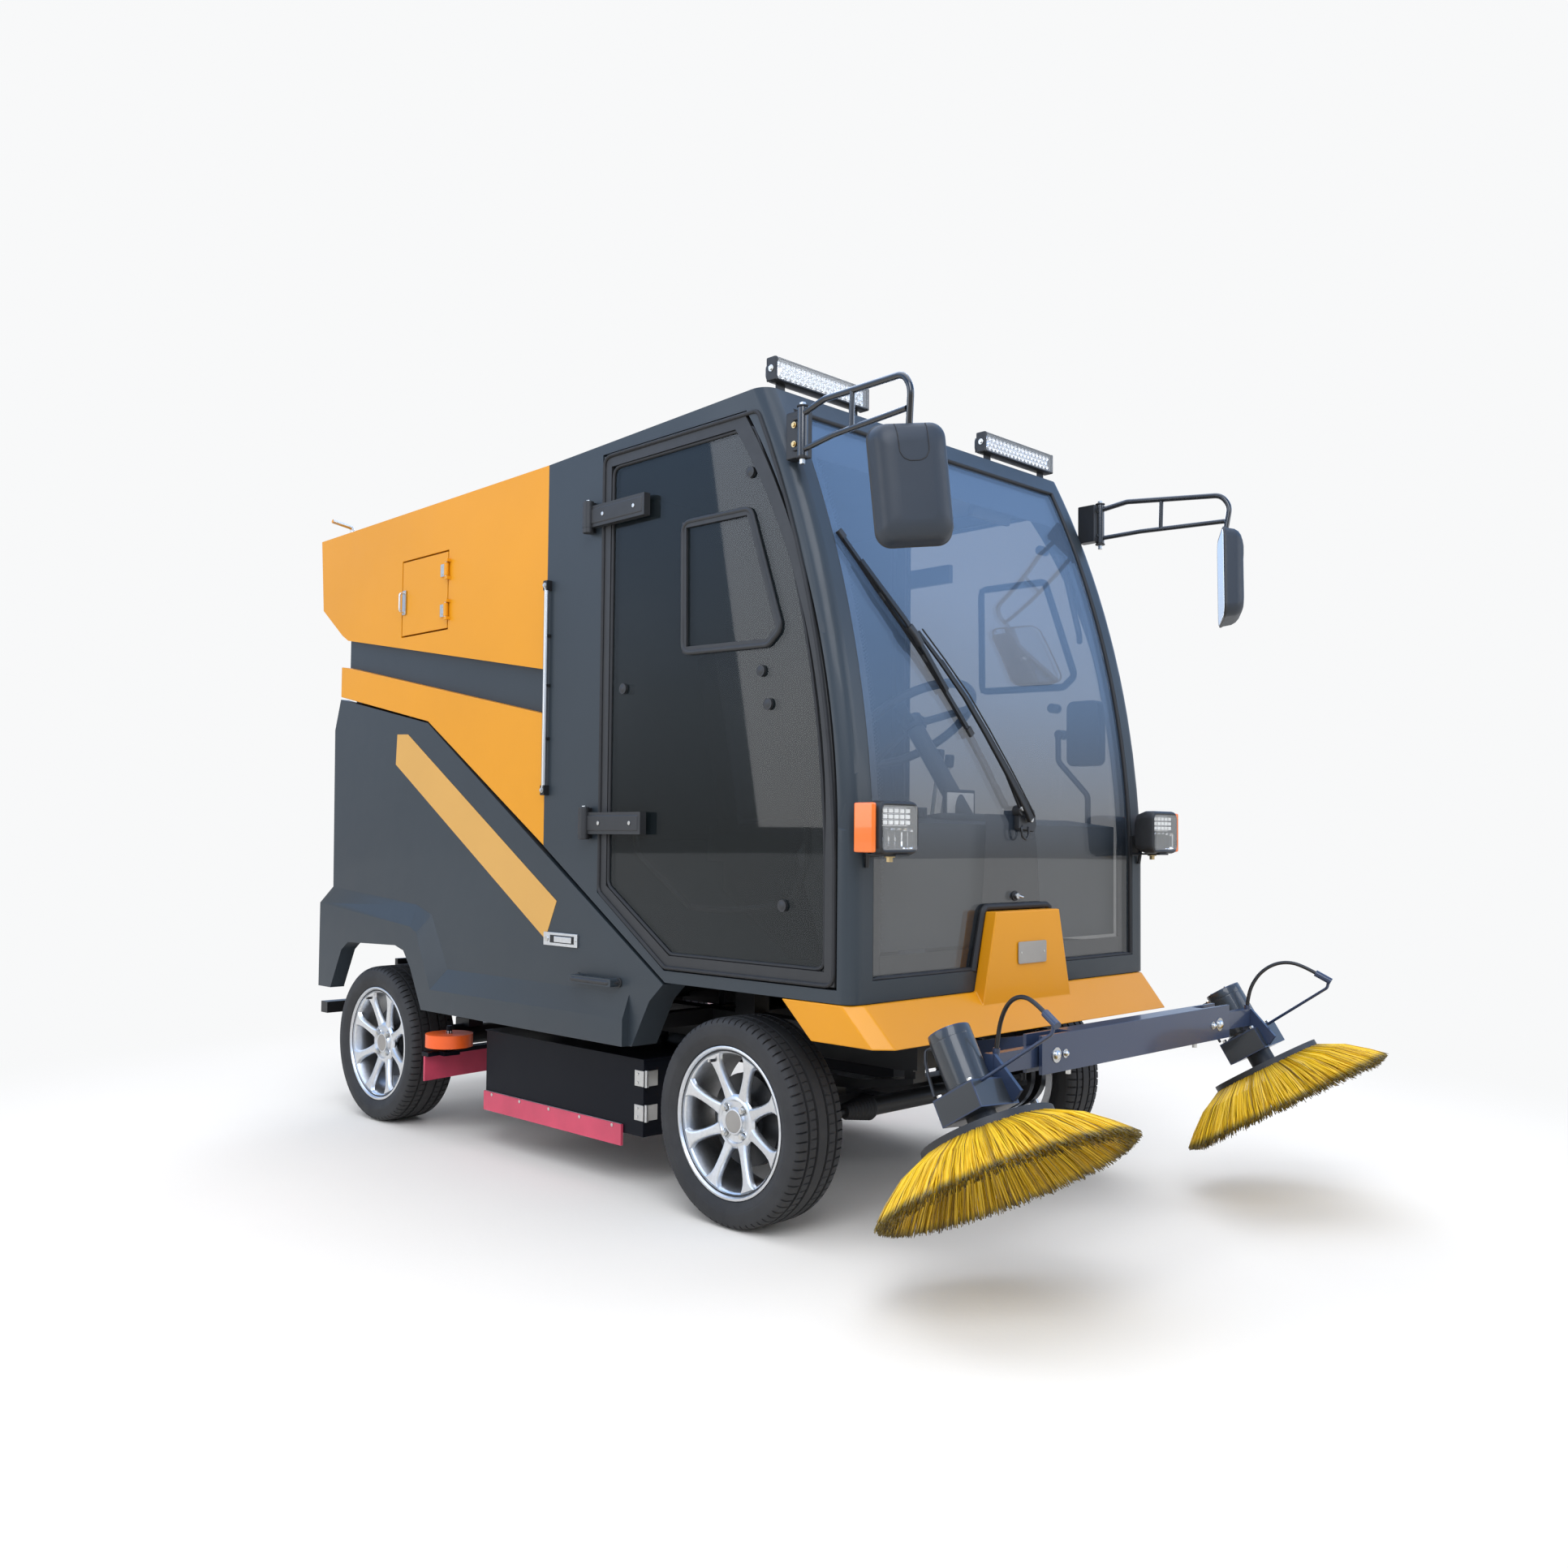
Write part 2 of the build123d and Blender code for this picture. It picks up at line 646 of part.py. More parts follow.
def over_glass(x, z, height):
    """A place at a height over the windscreen."""
    rise = front_station(z + 0.5) - front_station(z - 0.5)
    return at(x, front_station(z) + GLASS_INSET - height * sqrt(1 + rise ** 2), z)


with BuildPart() as wiper:
    with BuildSketch(cross_plane(front_station(WIPER_PIVOT[1] - 22) + GLASS_INSET - SEAT_GAP)):
        with Locations(WIPER_PIVOT):
            Rectangle(60, 44)
    extrude(amount=26)
    tube([over_glass(x, z, ARM_STAND) for x, z in WIPER_ARM], BLADE_RADIUS - 1, 60)
    tube([over_glass(x, z, BLADE_RADIUS + BOW) for x, z in WIPER_BLADE], BLADE_RADIUS, 300)
    tip = WIPER_ARM[-1]
    tube([over_glass(*tip, ARM_STAND), over_glass(*tip, BLADE_RADIUS)], BLADE_RADIUS - 2)
finish(wiper, "wiper")

# Doors: a ring frame round a glass pane, with hinge arms behind.
HINGE_BARREL = 17
PANE_OUT = BODY_HALF - 8     # outer face of the door's glass
VENT = ((199, 1849), (-66, 1845), (-182, 1522), (-136, 1486), (193, 1494))
VENT_RING = 16
KNOBS = ((-64, 1940), (450, 1416), (-110, 1422), (-194, 831), (-137, 1336), (435, 1023))
KNOB_RADIUS = 15
KNOB_DEPTH = 7
RAIL = (
    (-137, 1336), (-138, 1250), (-246, 1140), (-248, 944), (-194, 831),
    (36, 808), (188, 810), (419, 955), (435, 1023),
)
RAIL_RADIUS = 9
RAIL_BEND = 30
RAIL_STAND = 22              # rail's middle behind the glass
LOCK = (115, 204)            # length and height of the inside lock case
LOCK_PLACE = (-238, 1334)
LOCK_DEPTH = 40


def make_door(side):
    skin = side * BODY_HALF
    with BuildPart() as ring:
        with BuildSketch(side_plane(skin)):
            make_face(door_outline(0).edges())
            make_face(door_outline(DOOR_RING).edges(), mode=Mode.SUBTRACT)
        extrude(amount=-side * DOOR_THICK)
        for z in HINGE_HEIGHTS:
            with Locations(at(skin + side * 11, (HINGE_S + HINGE_REACH) / 2, z)):
                Box(22, HINGE_S - HINGE_REACH, 2 * HINGE_HALF - 26)
            with Locations(at(side * HINGE_X, HINGE_S, z)):
                Cylinder(HINGE_BARREL, 2 * HINGE_HALF - 26)
            with Locations(at(side * HINGE_X, HINGE_S, z)):
                Cylinder(HINGE_PIN + SEAT_GAP, 2 * HINGE_HALF, mode=Mode.SUBTRACT)
        # the arms stand off the cab side behind the door
        with BuildSketch(side_plane(skin)):
            with Locations(*[((DOOR_REAR + HINGE_S + 60) / 2, z) for z in HINGE_HEIGHTS]):
                Rectangle(HINGE_S + 60 - DOOR_REAR, 2 * HINGE_HALF)
        extrude(amount=side * RUN_GAP * 0.5, mode=Mode.SUBTRACT)
        # frame of the vent window on the pane, knobs through it, rail and lock inside
        face = side * (PANE_OUT + SEAT_GAP)
        back = side * (PANE_OUT - GLASS - SEAT_GAP)
        with BuildSketch(side_plane(face)):
            Polygon(*VENT, align=None)
            offset(amount=-VENT_RING, mode=Mode.SUBTRACT)
        extrude(amount=side * KNOB_DEPTH)
        for start, depth in ((face, KNOB_DEPTH), (back, -RAIL_STAND)):
            with BuildSketch(side_plane(start)):
                with Locations(*KNOBS):
                    Circle(KNOB_RADIUS)
            extrude(amount=side * depth)
        rail_x = back - side * RAIL_STAND
        tube([at(rail_x, s, z) for s, z in RAIL], RAIL_RADIUS, RAIL_BEND)
        with BuildSketch(side_plane(back)):
            with Locations(LOCK_PLACE):
                RectangleRounded(*LOCK, 24)
        extrude(amount=-side * LOCK_DEPTH)
    return ring


def make_door_glass(side):
    with BuildPart() as pane:
        with BuildSketch(side_plane(side * PANE_OUT)):
            add(door_outline(DOOR_RING))
            make_face()
        extrude(amount=-side * GLASS)
    return pane


for name, side in SIDES:
    finish(make_door(side), f"door_frame_{name}")
    finish(make_door_glass(side), f"door_glass_{name}")

with BuildPart() as door_hinges:
    for side in (-1, 1):
        for z in HINGE_HEIGHTS:
            with Locations(at(side * HINGE_X, HINGE_S, z)):
                Cylinder(HINGE_PIN, 2 * HINGE_HALF)
            for up in (-1, 1):
                leaf_x = (BODY_HALF + HINGE_X + 8) / 2
                with Locations(at(side * leaf_x, HINGE_S + 4, z + up * (HINGE_HALF - 6))):
                    Box(HINGE_X + 8 - BODY_HALF, 26, 12)
finish(door_hinges, "door_hinges")

# Cab furniture.
SEAT_S = 330
SEAT_PAN = 925
SEAT_BASE_HALF = 200


def inner_slope(s):
    """Height of the cab's sloping rear floor at a station."""
    run = INNER_REAR - SEAM_LOW[0] + CAB_WALL / 2
    rise = SEAM_HIGH[1] + CAB_WALL / 2 - INNER_FLOOR
    return INNER_FLOOR + (s - SEAM_LOW[0] + CAB_WALL / 2) * rise / run


with BuildPart() as seat:
    with Locations(at(0, SEAT_S, 980)):
        Box(470, 470, 110)
    with BuildSketch(side_plane(-220)):
        with BuildLine():
            Polyline((530, 1030), (640, 1560), (560, 1580), (440, 1030), close=True)
        make_face()
    extrude(amount=440)
    with BuildSketch(side_plane(-SEAT_BASE_HALF)):
        Polygon(
            (SEAT_S - 170, INNER_FLOOR),
            (SEAM_LOW[0] - CAB_WALL / 2, INNER_FLOOR),
            (SEAT_S + 200, inner_slope(SEAT_S + 200)),
            (SEAT_S + 200, SEAT_PAN),
            (SEAT_S - 170, SEAT_PAN),
            align=None,
        )
    extrude(amount=2 * SEAT_BASE_HALF)
finish(seat, "seat")

COLUMN_TILT = 35
WHEEL_HUB = (0, -60, 1330)
COLUMN_RADIUS = 26
COLUMN_LENGTH = 380
COLUMN_DROP = 20 + SEAT_GAP  # from the wheel's middle to the column's head
with BuildPart() as steering_wheel:
    tilt = radians(COLUMN_TILT)
    hub = Plane(origin=at(*WHEEL_HUB), x_dir=(1, 0, 0), z_dir=(0, sin(tilt), cos(tilt)))
    with Locations(hub.location):
        Torus(190, 13)
        Cylinder(34, 40)
    with BuildSketch(hub.offset(-6)):
        with PolarLocations(100, 3, start_angle=90):
            Rectangle(190, 24)
    extrude(amount=12)
finish(steering_wheel, "steering_wheel")


DASH_TOP = 1060
DASH_HALF = BODY_HALF - 108
with BuildPart() as dashboard:
    with BuildSketch(side_plane(-DASH_HALF)):
        with BuildLine():
            Polyline(
                (KNEE[0] + CAB_WALL + 1, 720),
                (KNEE[0] + CAB_WALL + 1, DASH_TOP - 20),
                (-220, DASH_TOP),
                (-140, 960),
                (-230, 720),
                close=True,
            )
        make_face()
    extrude(amount=2 * DASH_HALF)
    with Locations(at(0, -300, (INNER_FLOOR + 720) / 2)):
        Box(300, 140, 720 - INNER_FLOOR)
    with Locations(hub.offset(-COLUMN_DROP - COLUMN_LENGTH / 2).location):
        Cylinder(COLUMN_RADIUS, COLUMN_LENGTH)
finish(dashboard, "dashboard")

# ---- Front bumper ------------------------------------------------------------
BUMPER_TOP = 604
BUMPER_BOTTOM = 507
SPINE_TOP = (145, 811)
SPINE_FOOT = (216, 560)
BUMPER_SKIN = 14


BUMPER_CORNER = 40
BUMPER_FOOT_HALF = BODY_HALF - 14
BUMPER_TOP_ENDS = (KNEE[0] - 8, -196)     # front face and side wings' ends at the top
BUMPER_FOOT_ENDS = (-522, -285)           # and at the foot
WING_OVERCUT = 56                         # leaves the wings open at the rear


def bumper_outline(half, front, rear):
    """Half outline of the bumper mirrored: front face, cut corners and side wings."""
    edge = front + BUMPER_CORNER
    inner = half - BUMPER_CORNER
    return [(-half, rear), (-half, edge), (-inner, front), (inner, front), (half, edge), (half, rear)]


with BuildPart() as front_bumper:
    for skin, over, mode in ((0, 0, Mode.ADD), (BUMPER_SKIN, WING_OVERCUT, Mode.SUBTRACT)):
        for z, half, (front, rear) in (
            (BUMPER_TOP, BODY_HALF, BUMPER_TOP_ENDS),
            (BUMPER_BOTTOM, BUMPER_FOOT_HALF, BUMPER_FOOT_ENDS),
        ):
            with BuildSketch(level_plane(z)):
                Polygon(*bumper_outline(half - skin, front + skin, rear + over), align=None)
        loft(ruled=True, mode=mode)
    with BuildSketch(cross_plane(KNEE[0])):
        with BuildLine():
            Polyline(
                (-SPINE_FOOT[0], BUMPER_BOTTOM),
                (SPINE_FOOT[0], BUMPER_BOTTOM),
                (SPINE_TOP[0], SPINE_TOP[1]),
                (-SPINE_TOP[0], SPINE_TOP[1]),
                close=True,
            )
        make_face()
    extrude(amount=37)
finish(front_bumper, "front_bumper")

# ---- Lamps ---------------------------------------------------------------------
LAMP_SIZE = (150, 74, 128)


def roof_height(s):
    """Height of the cab roof, which falls a little to the rear."""
    fall = (CAB_ROOF - ROOF_REAR) / (CAB_REAR - SCREEN_TOP_S)
    return CAB_ROOF - (s - SCREEN_TOP_S) * fall


with BuildPart() as lamp_housings:
    for side in (-1, 1):
        with Locations(at(side * (LAMP_X - 11), LAMP_S + 6 + LAMP_SIZE[1] / 2, LAMP_Z)):
            Box(*LAMP_SIZE)
        lamp_back = LAMP_S + 6 + LAMP_SIZE[1]
        with Locations(at(side * 600, (KNEE[0] + lamp_back) / 2, LAMP_Z - 30)):
            Box(50, KNEE[0] - lamp_back, 40)
        span = WORK_LIGHT_SPAN[1] - WORK_LIGHT_SPAN[0]
        middle = side * sum(WORK_LIGHT_SPAN) / 2
        with Locations(at(middle, WORK_LIGHT_S + 30, WORK_LIGHT_Z)):
            Box(span, 48, 66)
        for x in (-span / 2 + 40, span / 2 - 40):
            foot = roof_height(WORK_LIGHT_S + 15)
            with Locations(at(middle + x, WORK_LIGHT_S + 30, (foot + WORK_LIGHT_Z - 33) / 2)):
                Box(30, 30, WORK_LIGHT_Z - 33 - foot)
finish(lamp_housings, "lamp_housings")

with BuildPart() as lamp_lenses:
    for side in (-1, 1):
        with Locations(at(side * (LAMP_X - 11), LAMP_S + 3, LAMP_Z)):
            Box(118, 6, 104)
        with Locations(at(side * sum(WORK_LIGHT_SPAN) / 2, WORK_LIGHT_S + 3, WORK_LIGHT_Z)):
            Box(WORK_LIGHT_SPAN[1] - WORK_LIGHT_SPAN[0] - 14, 6, 54)
finish(lamp_lenses, "lamp_lenses")

with BuildPart() as indicator_lenses:
    for side in (-1, 1):
        with Locations(at(side * (LAMP_X - 11 + LAMP_SIZE[0] / 2 + 7), LAMP_S + 10 + 30, LAMP_Z)):
            Box(14, 60, 116)
finish(indicator_lenses, "indicator_lenses")

# ---- Mirrors ---------------------------------------------------------------------
MIRROR_FOOT = (BODY_HALF - 10, -232, CAB_ROOF - 155)
MIRROR_FOOT_SIZE = (40, 68, 124)
ARM_TUBE = 8
ARM_BAR = 7                  # lower bar and strut, thinner than the bent tube
ARM_BEND = 45
ARM_HIGH = MIRROR_FOOT[2] + 45
ARM_LOW = MIRROR_FOOT[2] - 45
ARM_ROOT = (BODY_HALF + 8, -262)
ARM_OUT = (MIRROR_X + 17, MIRROR_S - 17)    # where the arm turns down into the head
ARM_END = MIRROR_Z + MIRROR_SIZE[2] / 2 - 26


def pillar_plane(side, z):
    """Plane that touches the rounded front pillar at a height, facing out and forward."""
    rise = front_station(z + 0.5) - front_station(z - 0.5)
    slope = sqrt(1 + rise ** 2)
    reach = PILLAR_ROUND * (1 - sqrt(0.5))
    return Plane(
        origin=at(side * (BODY_HALF - reach), front_station(z) + reach / slope, z - reach * rise / slope),
        z_dir=(side, -1 / slope, rise / slope),
    )


def mirror_head_plane(side):
    """Middle of a mirror head, its glass facing rearward and inward."""
    return Plane(origin=at(side * MIRROR_X, MIRROR_S, MIRROR_Z), x_dir=(side, 1, 0), z_dir=(-side, 1, 0))


with BuildPart() as mirror_head:
    with BuildSketch(mirror_head_plane(-1)):
        RectangleRounded(MIRROR_SIZE[0], MIRROR_SIZE[2], 36)
    extrude(amount=-MIRROR_SIZE[1], taper=12)
    with Locations(at(-ARM_OUT[0], ARM_OUT[1], ARM_END + 40)):
        Cylinder(ARM_TUBE + SEAT_GAP, 80 + 2 * SEAT_GAP, mode=Mode.SUBTRACT)

with BuildPart() as mirror_arms:
    # the right arm first, then its mirror image
    with Locations(at(-MIRROR_FOOT[0], MIRROR_FOOT[1], MIRROR_FOOT[2])):
        Box(*MIRROR_FOOT_SIZE)
    behind = pillar_plane(-1, MIRROR_FOOT[2]).offset(SEAT_GAP - BODY_HALF / 2)
    with Locations(behind.location):
        Box(BODY_HALF, BODY_HALF, BODY_HALF, mode=Mode.SUBTRACT)
    tube(
        [
            at(-ARM_ROOT[0], ARM_ROOT[1], ARM_HIGH),
            at(-ARM_OUT[0], ARM_OUT[1], ARM_HIGH - 8),
            at(-ARM_OUT[0], ARM_OUT[1], ARM_END),
        ],
        ARM_TUBE,
        ARM_BEND,
    )
    tube([at(-ARM_ROOT[0], ARM_ROOT[1], ARM_LOW), at(-ARM_OUT[0], ARM_OUT[1], ARM_LOW)], ARM_BAR)
    bar_x = (ARM_ROOT[0] + ARM_OUT[0]) / 2
    bar_s = (ARM_ROOT[1] + ARM_OUT[1]) / 2
    with Locations(at(-bar_x, bar_s, (ARM_HIGH - 4 + ARM_LOW) / 2)):
        Cylinder(ARM_BAR - 1, ARM_HIGH - 4 - ARM_LOW)
    add(mirror_head.part)
    mirror(about=Plane.YZ)
finish(mirror_arms, "mirror_arms")


with BuildPart() as mirror_glass:
    for side in (-1, 1):
        with BuildSketch(mirror_head_plane(side)):
            RectangleRounded(MIRROR_SIZE[0] - 20, MIRROR_SIZE[2] - 20, 28)
        extrude(amount=4)
finish(mirror_glass, "mirror_glass")

# ---- Rear body -----------------------------------------------------------------
TANK_FRONT = 820
FLAP = (1384, 1680, 1687, 1947)  # front, bottom, rear and top of its opening
FLAP_HINGES = (1745, 1880)
TOP_ROD = (
    (48 - BODY_HALF, ROOF_REAR - 23),
    (48 - BODY_HALF, ROOF_REAR + 23),
    (-BODY_HALF - 32, ROOF_REAR + 35),
)    # (x, height) of the hook rod
TOP_ROD_S = TANK_REAR - 145
TOP_ROD_RADIUS = 7
FLAP_PIN = 4
FLAP_PIN_X = BODY_HALF + 8.5
FLAP_PIN_S = FLAP[0] + 1
FLAP_BARREL = 44
with BuildPart() as water_tank:
    with BuildSketch(side_plane(-BODY_HALF)):
        Polygon(
            (TANK_FRONT, ROOF_REAR),
            (TANK_FRONT, 1500),
            (BODY_REAR - 45, 1708),
            (BODY_REAR, 1731),
            (TANK_REAR - 25, 1840),
            (TANK_REAR, ROOF_REAR - 17),
            align=None,
        )
    extrude(amount=2 * BODY_HALF)
    # recess behind the filler flap
    with BuildSketch(side_plane(-BODY_HALF)):
        Polygon((FLAP[0], FLAP[1]), (FLAP[2], FLAP[1]), (FLAP[2], FLAP[3]), (FLAP[0], FLAP[3]), align=None)
    extrude(amount=90, mode=Mode.SUBTRACT)
    with Locations(at(-BODY_HALF + 65, (FLAP[0] + FLAP[2]) / 2, (FLAP[1] + FLAP[3]) / 2)):
        Cylinder(55, 50, rotation=(0, 90, 0))
    tube([at(x, TOP_ROD_S, z) for x, z in TOP_ROD], TOP_ROD_RADIUS, 15)
    for z in FLAP_HINGES:
        with Locations(at(-FLAP_PIN_X, FLAP_PIN_S, z)):
            Cylinder(FLAP_PIN, FLAP_BARREL + 20)
        for up in (-1, 1):
            lug_out = FLAP_PIN_X + 6
            lug_z = z + up * (FLAP_BARREL / 2 + 7)
            with Locations(at(-(BODY_HALF + lug_out) / 2, FLAP_PIN_S - 6, lug_z)):
                Box(lug_out - BODY_HALF, 16, 10)
finish(water_tank, "water_tank")

with BuildPart() as filler_flap:
    with BuildSketch(side_plane(-BODY_HALF)):
        Polygon(
            (FLAP[0] + RUN_GAP, FLAP[1] + RUN_GAP),
            (FLAP[2] - RUN_GAP, FLAP[1] + RUN_GAP),
            (FLAP[2] - RUN_GAP, FLAP[3] - RUN_GAP),
            (FLAP[0] + RUN_GAP, FLAP[3] - RUN_GAP),
            align=None,
        )
    extrude(amount=12)
    for z in FLAP_HINGES:
        with Locations(at(-FLAP_PIN_X, FLAP_PIN_S, z)):
            Cylinder(FLAP_PIN + 4, FLAP_BARREL)
        with Locations(at(-BODY_HALF - 2, FLAP_PIN_S + 20, z)):
            Box(4, 40, FLAP_BARREL)
        with Locations(at(-FLAP_PIN_X, FLAP_PIN_S, z)):
            Cylinder(FLAP_PIN + SEAT_GAP, FLAP_BARREL, mode=Mode.SUBTRACT)
finish(filler_flap, "filler_flap")

WAIST_HALF = BODY_HALF - WAIST_INSET
GATE_HINGES = (-380, 380)
GATE_PIN = 7
GATE_PIN_S = BODY_REAR + RUN_GAP + TAILGATE_THICK / 2
GATE_PIN_Z = TAILGATE_TOP + 8
GATE_BARREL = 90
BAND_FRONT = 1365
WAIST_END = BODY_REAR - 55    # where the waist turns level
with BuildPart() as waist_panel:
    with BuildSketch(side_plane(-WAIST_HALF)):
        Polygon(
            (TANK_FRONT, 1500),
            (BODY_REAR - 45, 1708),
            (BODY_REAR - 20, 1718),
            (BODY_REAR - 20, 1612),
            (WAIST_END, 1606),
            (TANK_FRONT, BAND_FRONT),
            align=None,
        )
    extrude(amount=2 * WAIST_HALF)
    for x in GATE_HINGES:
        with Locations(at(x, GATE_PIN_S, GATE_PIN_Z)):
            Cylinder(GATE_PIN, GATE_BARREL + 26, rotation=(0, 90, 0))
        for out in (-1, 1):
            lug = at(x + out * (GATE_BARREL / 2 + 7), (BODY_REAR - 20 + GATE_PIN_S + 11) / 2, GATE_PIN_Z)
            with Locations(lug):
                Box(12, GATE_PIN_S + 11 - BODY_REAR + 20, 22)
finish(waist_panel, "waist_panel")

BAND_THICK = 48
with BuildPart() as lower_band:
    for side in (-1, 1):
        with BuildSketch(side_plane(side * BODY_HALF)):
            Polygon(
                (TANK_FRONT, BAND_FRONT),
                (WAIST_END, 1606),
                (BODY_REAR, 1614),
                (BODY_REAR, 1503),
                (1500, 1380),
                (TANK_FRONT, SEAM_HIGH[1]),
                align=None,
            )
        extrude(amount=-side * BAND_THICK)
finish(lower_band, "lower_band")

# Side panels: one flat sheet with a flared skirt and the rear wheel arch cut out.
ARCH_FRONT = WHEELBASE - 346
ARCH_REAR = WHEELBASE + 292
ARCH = (
    (ARCH_FRONT, 413),
    (ARCH_FRONT + 79, 554),
    (ARCH_FRONT + 125, 607),
    (ARCH_FRONT + 181, 621),
    (ARCH_REAR - 124, 612),
    (ARCH_REAR - 76, 581),
    (ARCH_REAR, 444),
)
PANEL_FOOT = 419
PANEL_REAR = BODY_REAR + 76  # behind the skirt
PANEL_WAIST = (BODY_REAR + 28, 805)
CREASE_HIGH = (
    PANEL_WAIST,
    (ARCH_FRONT + 82, 762),
    (ARCH_FRONT - 15, 733),
    (ARCH_FRONT - 119, 560),
    (400, 562),
)
CREASE_LOW = (
    (PANEL_REAR + 4, 745),
    (ARCH_FRONT + 85, 690),
    (ARCH_FRONT + 41, 670),
    (ARCH_FRONT - 50, 490),
    (400, 494),
)


RETURN_DEPTH = 60
RETURN_THICK = 6
LATCH = (720, 694)           # middle of the flush lock
LATCH_SIZE = (165, 38)
GRIP = (540, 590)            # middle of the pull handle
GRIP_SIZE = (196, 22)
GRIP_STAND = 34
PANEL_PIN_X = BODY_HALF - PANEL_THICK - 11
PANEL_PIN_S = BODY_REAR + 11
PANEL_PIN = 6
PANEL_BARREL = 76
PANEL_HINGES = (900, 1300)


def make_side_panel(side):
    skin = side * BODY_HALF
    gap = RUN_GAP
    with BuildPart() as panel:
        with BuildSketch(side_plane(skin)):
            Polygon(
                (SEAM_LOW[0] + 8, CAB_BOTTOM - gap),
                (313, 550),
                (387, PANEL_FOOT),
                (PANEL_REAR, PANEL_FOOT),
                (PANEL_REAR, 745),
                PANEL_WAIST,
                (BODY_REAR + 40, 1382),
                (BODY_REAR, 1494),
                (1500, 1380 - gap),
                (SEAM_HIGH[0] + gap, SEAM_HIGH[1] - gap),
                align=None,
            )
        extrude(amount=-side * PANEL_THICK)
        with BuildSketch(side_plane(skin)):
            Polygon(*CREASE_HIGH, (400, PANEL_FOOT), (PANEL_REAR, PANEL_FOOT), align=None)
        with BuildSketch(side_plane(skin + side * FLARE)):
            Polygon(*CREASE_LOW, (400, PANEL_FOOT), (PANEL_REAR + 4, PANEL_FOOT), align=None)
        loft(ruled=True)
        # the sheet turns inward over the front wheel
        with BuildSketch(side_plane(skin - side * PANEL_THICK)):
            Polygon(
                (SEAM_LOW[0] + 8, CAB_BOTTOM - gap),
                (313, 550),
                (387, PANEL_FOOT),
                (387 + RETURN_THICK, PANEL_FOOT),
                (313 + RETURN_THICK, 550),
                (SEAM_LOW[0] + 8 + 2 * RETURN_THICK, CAB_BOTTOM - gap),
                align=None,
            )
        extrude(amount=-side * RETURN_DEPTH)
        for place, size, depth in ((LATCH, LATCH_SIZE, 5), (GRIP, GRIP_SIZE, GRIP_STAND)):
            with BuildSketch(side_plane(skin)):
                with Locations(place):
                    RectangleRounded(*size, 6)
            extrude(amount=side * depth)
        with BuildSketch(side_plane(skin)):
            with Locations(GRIP):
                Rectangle(GRIP_SIZE[0] - 60, GRIP_SIZE[1])
        extrude(amount=side * (GRIP_STAND - 12), mode=Mode.SUBTRACT)
        with BuildSketch(side_plane(skin - side * (PANEL_THICK + 1))):
            Polygon(
                *ARCH,
                (ARCH_REAR, 440),
                (ARCH_REAR + 197, 440),
                (ARCH_REAR + 197, 300),
                (ARCH_FRONT, 300),
                align=None,
            )
        extrude(amount=side * (PANEL_THICK + FLARE + 2), mode=Mode.SUBTRACT)
        for z in PANEL_HINGES:
            with Locations(at(side * PANEL_PIN_X, PANEL_PIN_S, z)):
                Cylinder(PANEL_PIN + 8, PANEL_BARREL)
            with Locations(at(side * PANEL_PIN_X, PANEL_PIN_S, z)):
                Cylinder(PANEL_PIN + SEAT_GAP, PANEL_BARREL, mode=Mode.SUBTRACT)
    return panel


for name, side in SIDES:
    finish(make_side_panel(side), f"side_panel_{name}")

# Frame of the rear body: bulkhead, sills, posts and rails inside the side panels.
POST = 44
FRAME_HALF = BODY_HALF - BAND_THICK
SILL_Z = 470
SILL_STATIONS = (460, 1410)
RAIL_Z = 1300
REAR_POST = BODY_REAR - 50
HOPPER_STATIONS = (1240, REAR_POST)
CROSS_Z = HOPPER_BOTTOM - POST / 2


def waist_foot(s):
    """Height of the waist panel's lower edge at a station."""
    return BAND_FRONT + (s - TANK_FRONT) * (1606 - BAND_FRONT) / (WAIST_END - TANK_FRONT)


